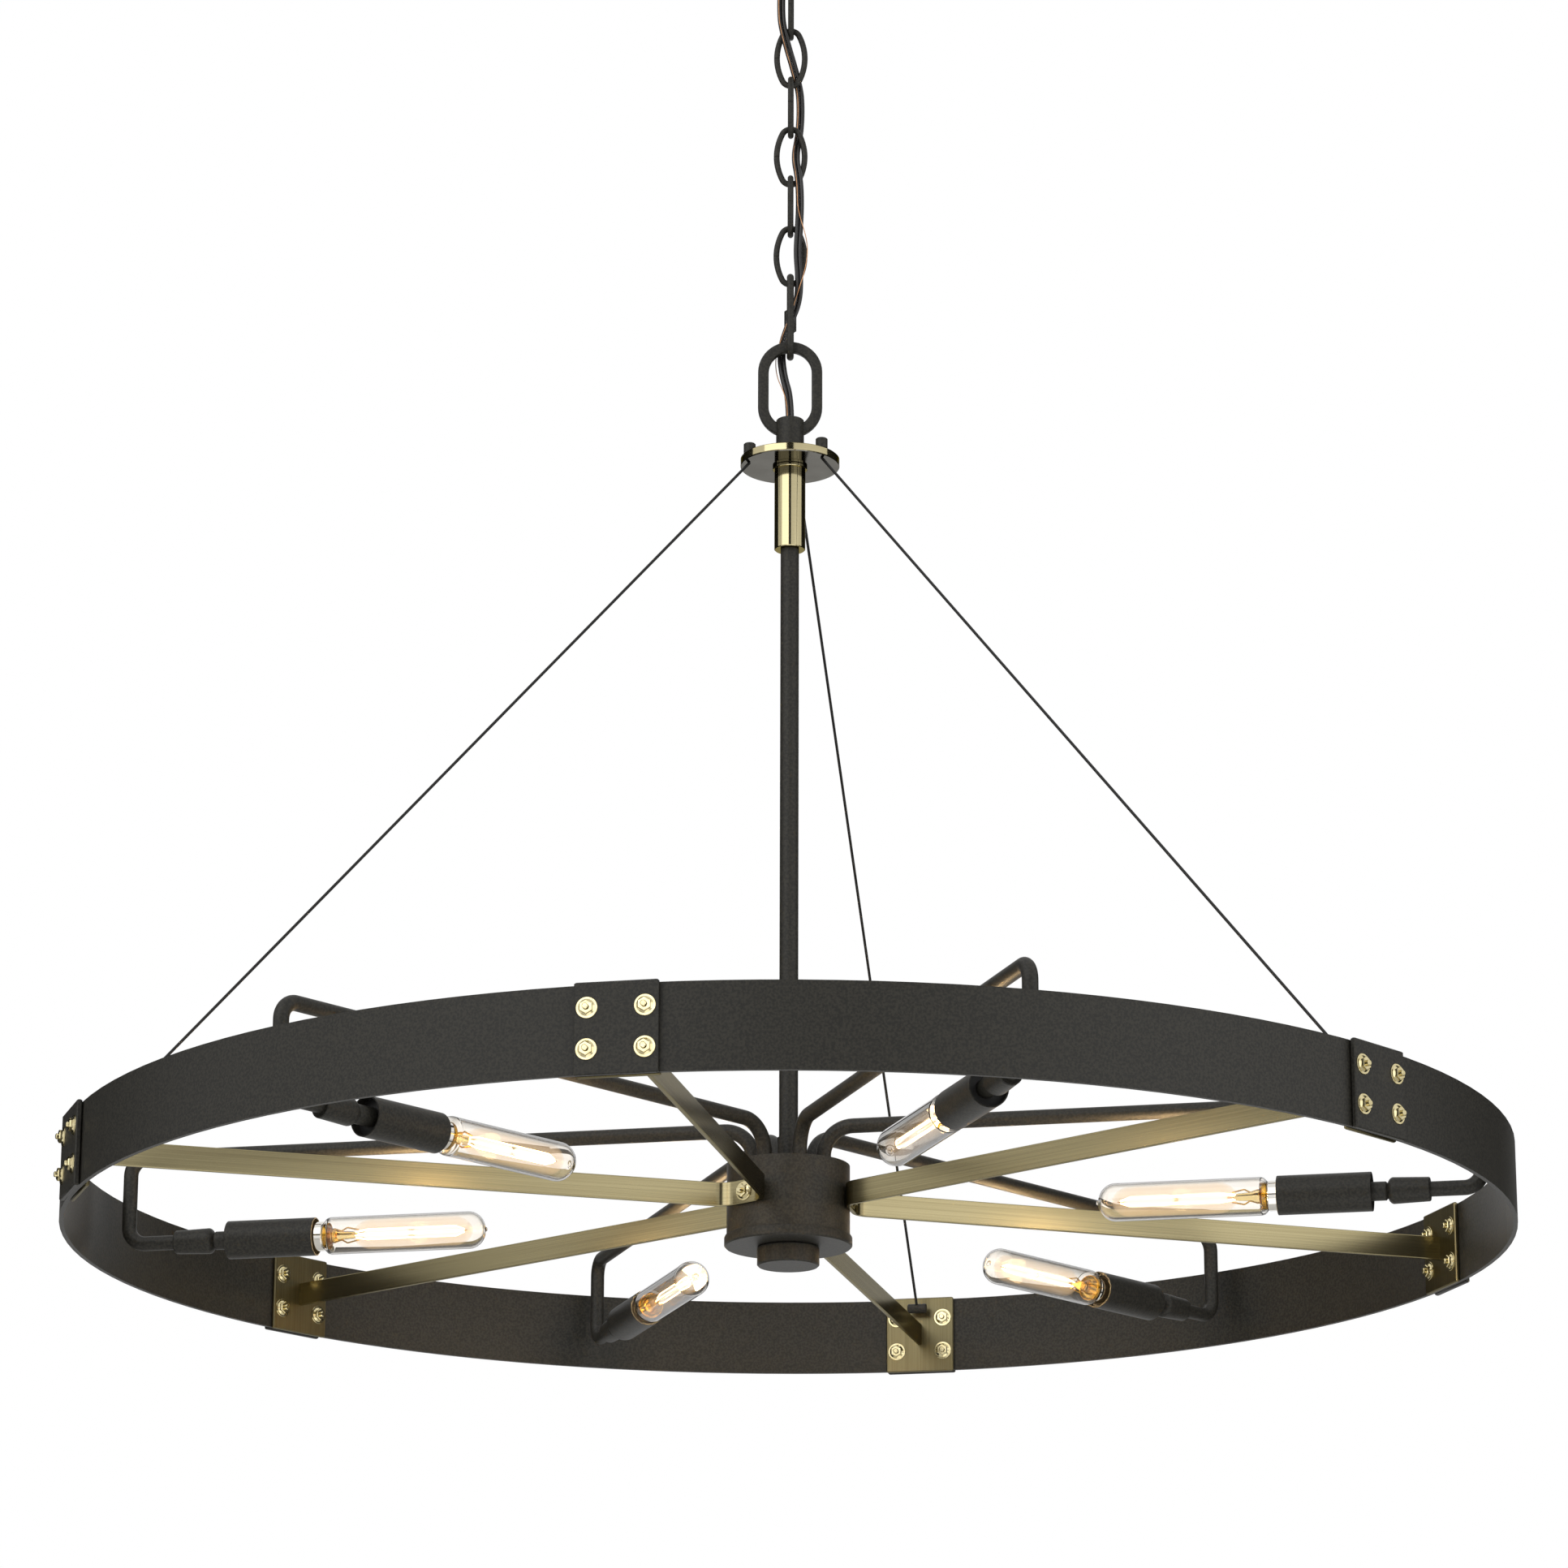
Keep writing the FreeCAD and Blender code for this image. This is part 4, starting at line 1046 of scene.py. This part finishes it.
for k, angle in enumerate(arm_angles):
    place = (turned(angle) @ facing_in(glass_back) @ (UP * BULB_LIGHT_HEIGHT)) * MM
    lamp, light = add_light("bulb_light_%d" % (k + 1), "POINT", BULB_POWER, place)
    lamp.color = BULB_LIGHT
    lamp.shadow_soft_size = BULB_LIGHT_RADIUS * MM
    fade_out(lamp)
    light.visible_transmission = False
    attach(light, WHEEL)


# Floor, lights, dark cards, world and camera, in metres
def flat_panel(name, centre, turn, width, height, colour):
    """A stage panel that faces its own +Z, faintly uneven."""
    corners = [(-1, -1), (1, -1), (1, 1), (-1, 1)]
    points = [Vector((x * width / 2, y * height / 2, 0)) / MM for x, y in corners]
    place = Matrix.Translation(Vector(centre) / MM) @ turn
    panel = make(name, moved((points, [(0, 1, 2, 3)]), place), plain(name, colour, roughness=0.9), None)
    return panel


def soft_light(name, place, width, power):
    """A square light that faces the middle of the rim."""
    lamp, light = add_light(name, "AREA", power, place)
    lamp.size = width
    light.rotation_euler = (wheel_centre - Vector(place)).to_track_quat("-Z", "Y").to_euler()


def dark_card(name, place, turn, width, height):
    """A card that only reflections show: it draws the edges of the metal."""
    card = flat_panel(name, place, turn, width, height, srgb(22, 22, 22))
    card.visible_camera = False
    card.visible_diffuse = False
    card.visible_shadow = False
    card.visible_transmission = False


rim_metres = RIM_LEVEL * MM
wheel_centre = Vector((0, 0, rim_metres))
soft_light("key", (-1.8, -2.6, rim_metres + 1.9), width=3.2, power=44)
soft_light("fill", (2.4, -2, rim_metres + 0.2), width=2.6, power=18)
soft_light("below", (0.3, -1.2, rim_metres - 2), width=2.2, power=14)

FLOOR_LEVEL = -3.4
SIDEWAYS = Matrix.Rotation(QUARTER_TURN, 4, "Y")
UPRIGHT = Matrix.Rotation(QUARTER_TURN, 4, "X")
LEVEL = Matrix.Identity(4)
flat_panel("floor", (0, 0, FLOOR_LEVEL), LEVEL, width=9, height=9, colour=srgb(236, 236, 234))
dark_card("left_card", (-1.5, 1.35, rim_metres + 0.2), SIDEWAYS, width=3.2, height=2.4)
dark_card("right_card", (1.5, 1.35, rim_metres + 0.2), SIDEWAYS, width=3.2, height=2.4)
dark_card("front_card", (0, -5, rim_metres), UPRIGHT, width=1.5, height=6)


def add_background(tree, colour, strength):
    background = tree.nodes.new("ShaderNodeBackground")
    set_inputs(background, {"Color": colour, "Strength": strength})
    return background.outputs["Background"]


def studio_world():
    """White for the camera and for what metal and glass show of it, and a softer light on the object."""
    world = bpy.data.worlds.new("studio")
    world.use_nodes = True
    tree = world.node_tree
    for item in list(tree.nodes):
        tree.nodes.remove(item)
    output = tree.nodes.new("ShaderNodeOutputWorld")
    seen = add_background(tree, (1, 1, 1, 1), 1)
    lighting = add_background(tree, (1, 0.99, 0.97, 1), 0.6)
    rays = tree.nodes.new("ShaderNodeLightPath")
    sight = rays.outputs["Is Camera Ray"]
    for ray in ("Is Glossy Ray", "Is Transmission Ray"):
        either = tree.nodes.new("ShaderNodeMath")
        either.operation = "MAXIMUM"
        tree.links.new(sight, either.inputs[0])
        tree.links.new(rays.outputs[ray], either.inputs[1])
        sight = either.outputs["Value"]
    choose = tree.nodes.new("ShaderNodeMixShader")
    tree.links.new(sight, choose.inputs["Fac"])
    tree.links.new(lighting, choose.inputs[1])
    tree.links.new(seen, choose.inputs[2])
    tree.links.new(choose.outputs["Shader"], output.inputs["Surface"])
    return world


CAMERA_BACK = 3.5019
CAMERA_DROP = 0.765
CAMERA_PITCH = math.radians(16.79)
CAMERA_YAW = math.radians(0.059)
CAMERA_ROLL = math.radians(0.145)
CAMERA_LENS = 122.76
CAMERA_SENSOR = 36


def photo_camera():
    """The photograph's view: from the front, below the rim, and tilted up."""
    data = bpy.data.cameras.new("camera")
    data.lens = CAMERA_LENS
    data.sensor_width = CAMERA_SENSOR
    data.clip_end = 50
    camera = bpy.data.objects.new("camera", data)
    camera.location = (0, -CAMERA_BACK, rim_metres - CAMERA_DROP)
    aim = Matrix.Rotation(CAMERA_YAW, 4, "Z") @ Matrix.Rotation(QUARTER_TURN + CAMERA_PITCH, 4, "X")
    camera.rotation_euler = (aim @ Matrix.Rotation(CAMERA_ROLL, 4, "Z")).to_euler()
    return camera


scene = bpy.context.scene
scene.world = studio_world()
scene.camera = photo_camera()
scene.collection.objects.link(scene.camera)
scene.view_settings.view_transform = "Standard"
# Light crosses many walls of glass and of painted glow before it leaves a bulb
LIGHT_BOUNCES = 24
scene.cycles.max_bounces = LIGHT_BOUNCES
scene.cycles.transmission_bounces = LIGHT_BOUNCES
scene.cycles.transparent_max_bounces = LIGHT_BOUNCES
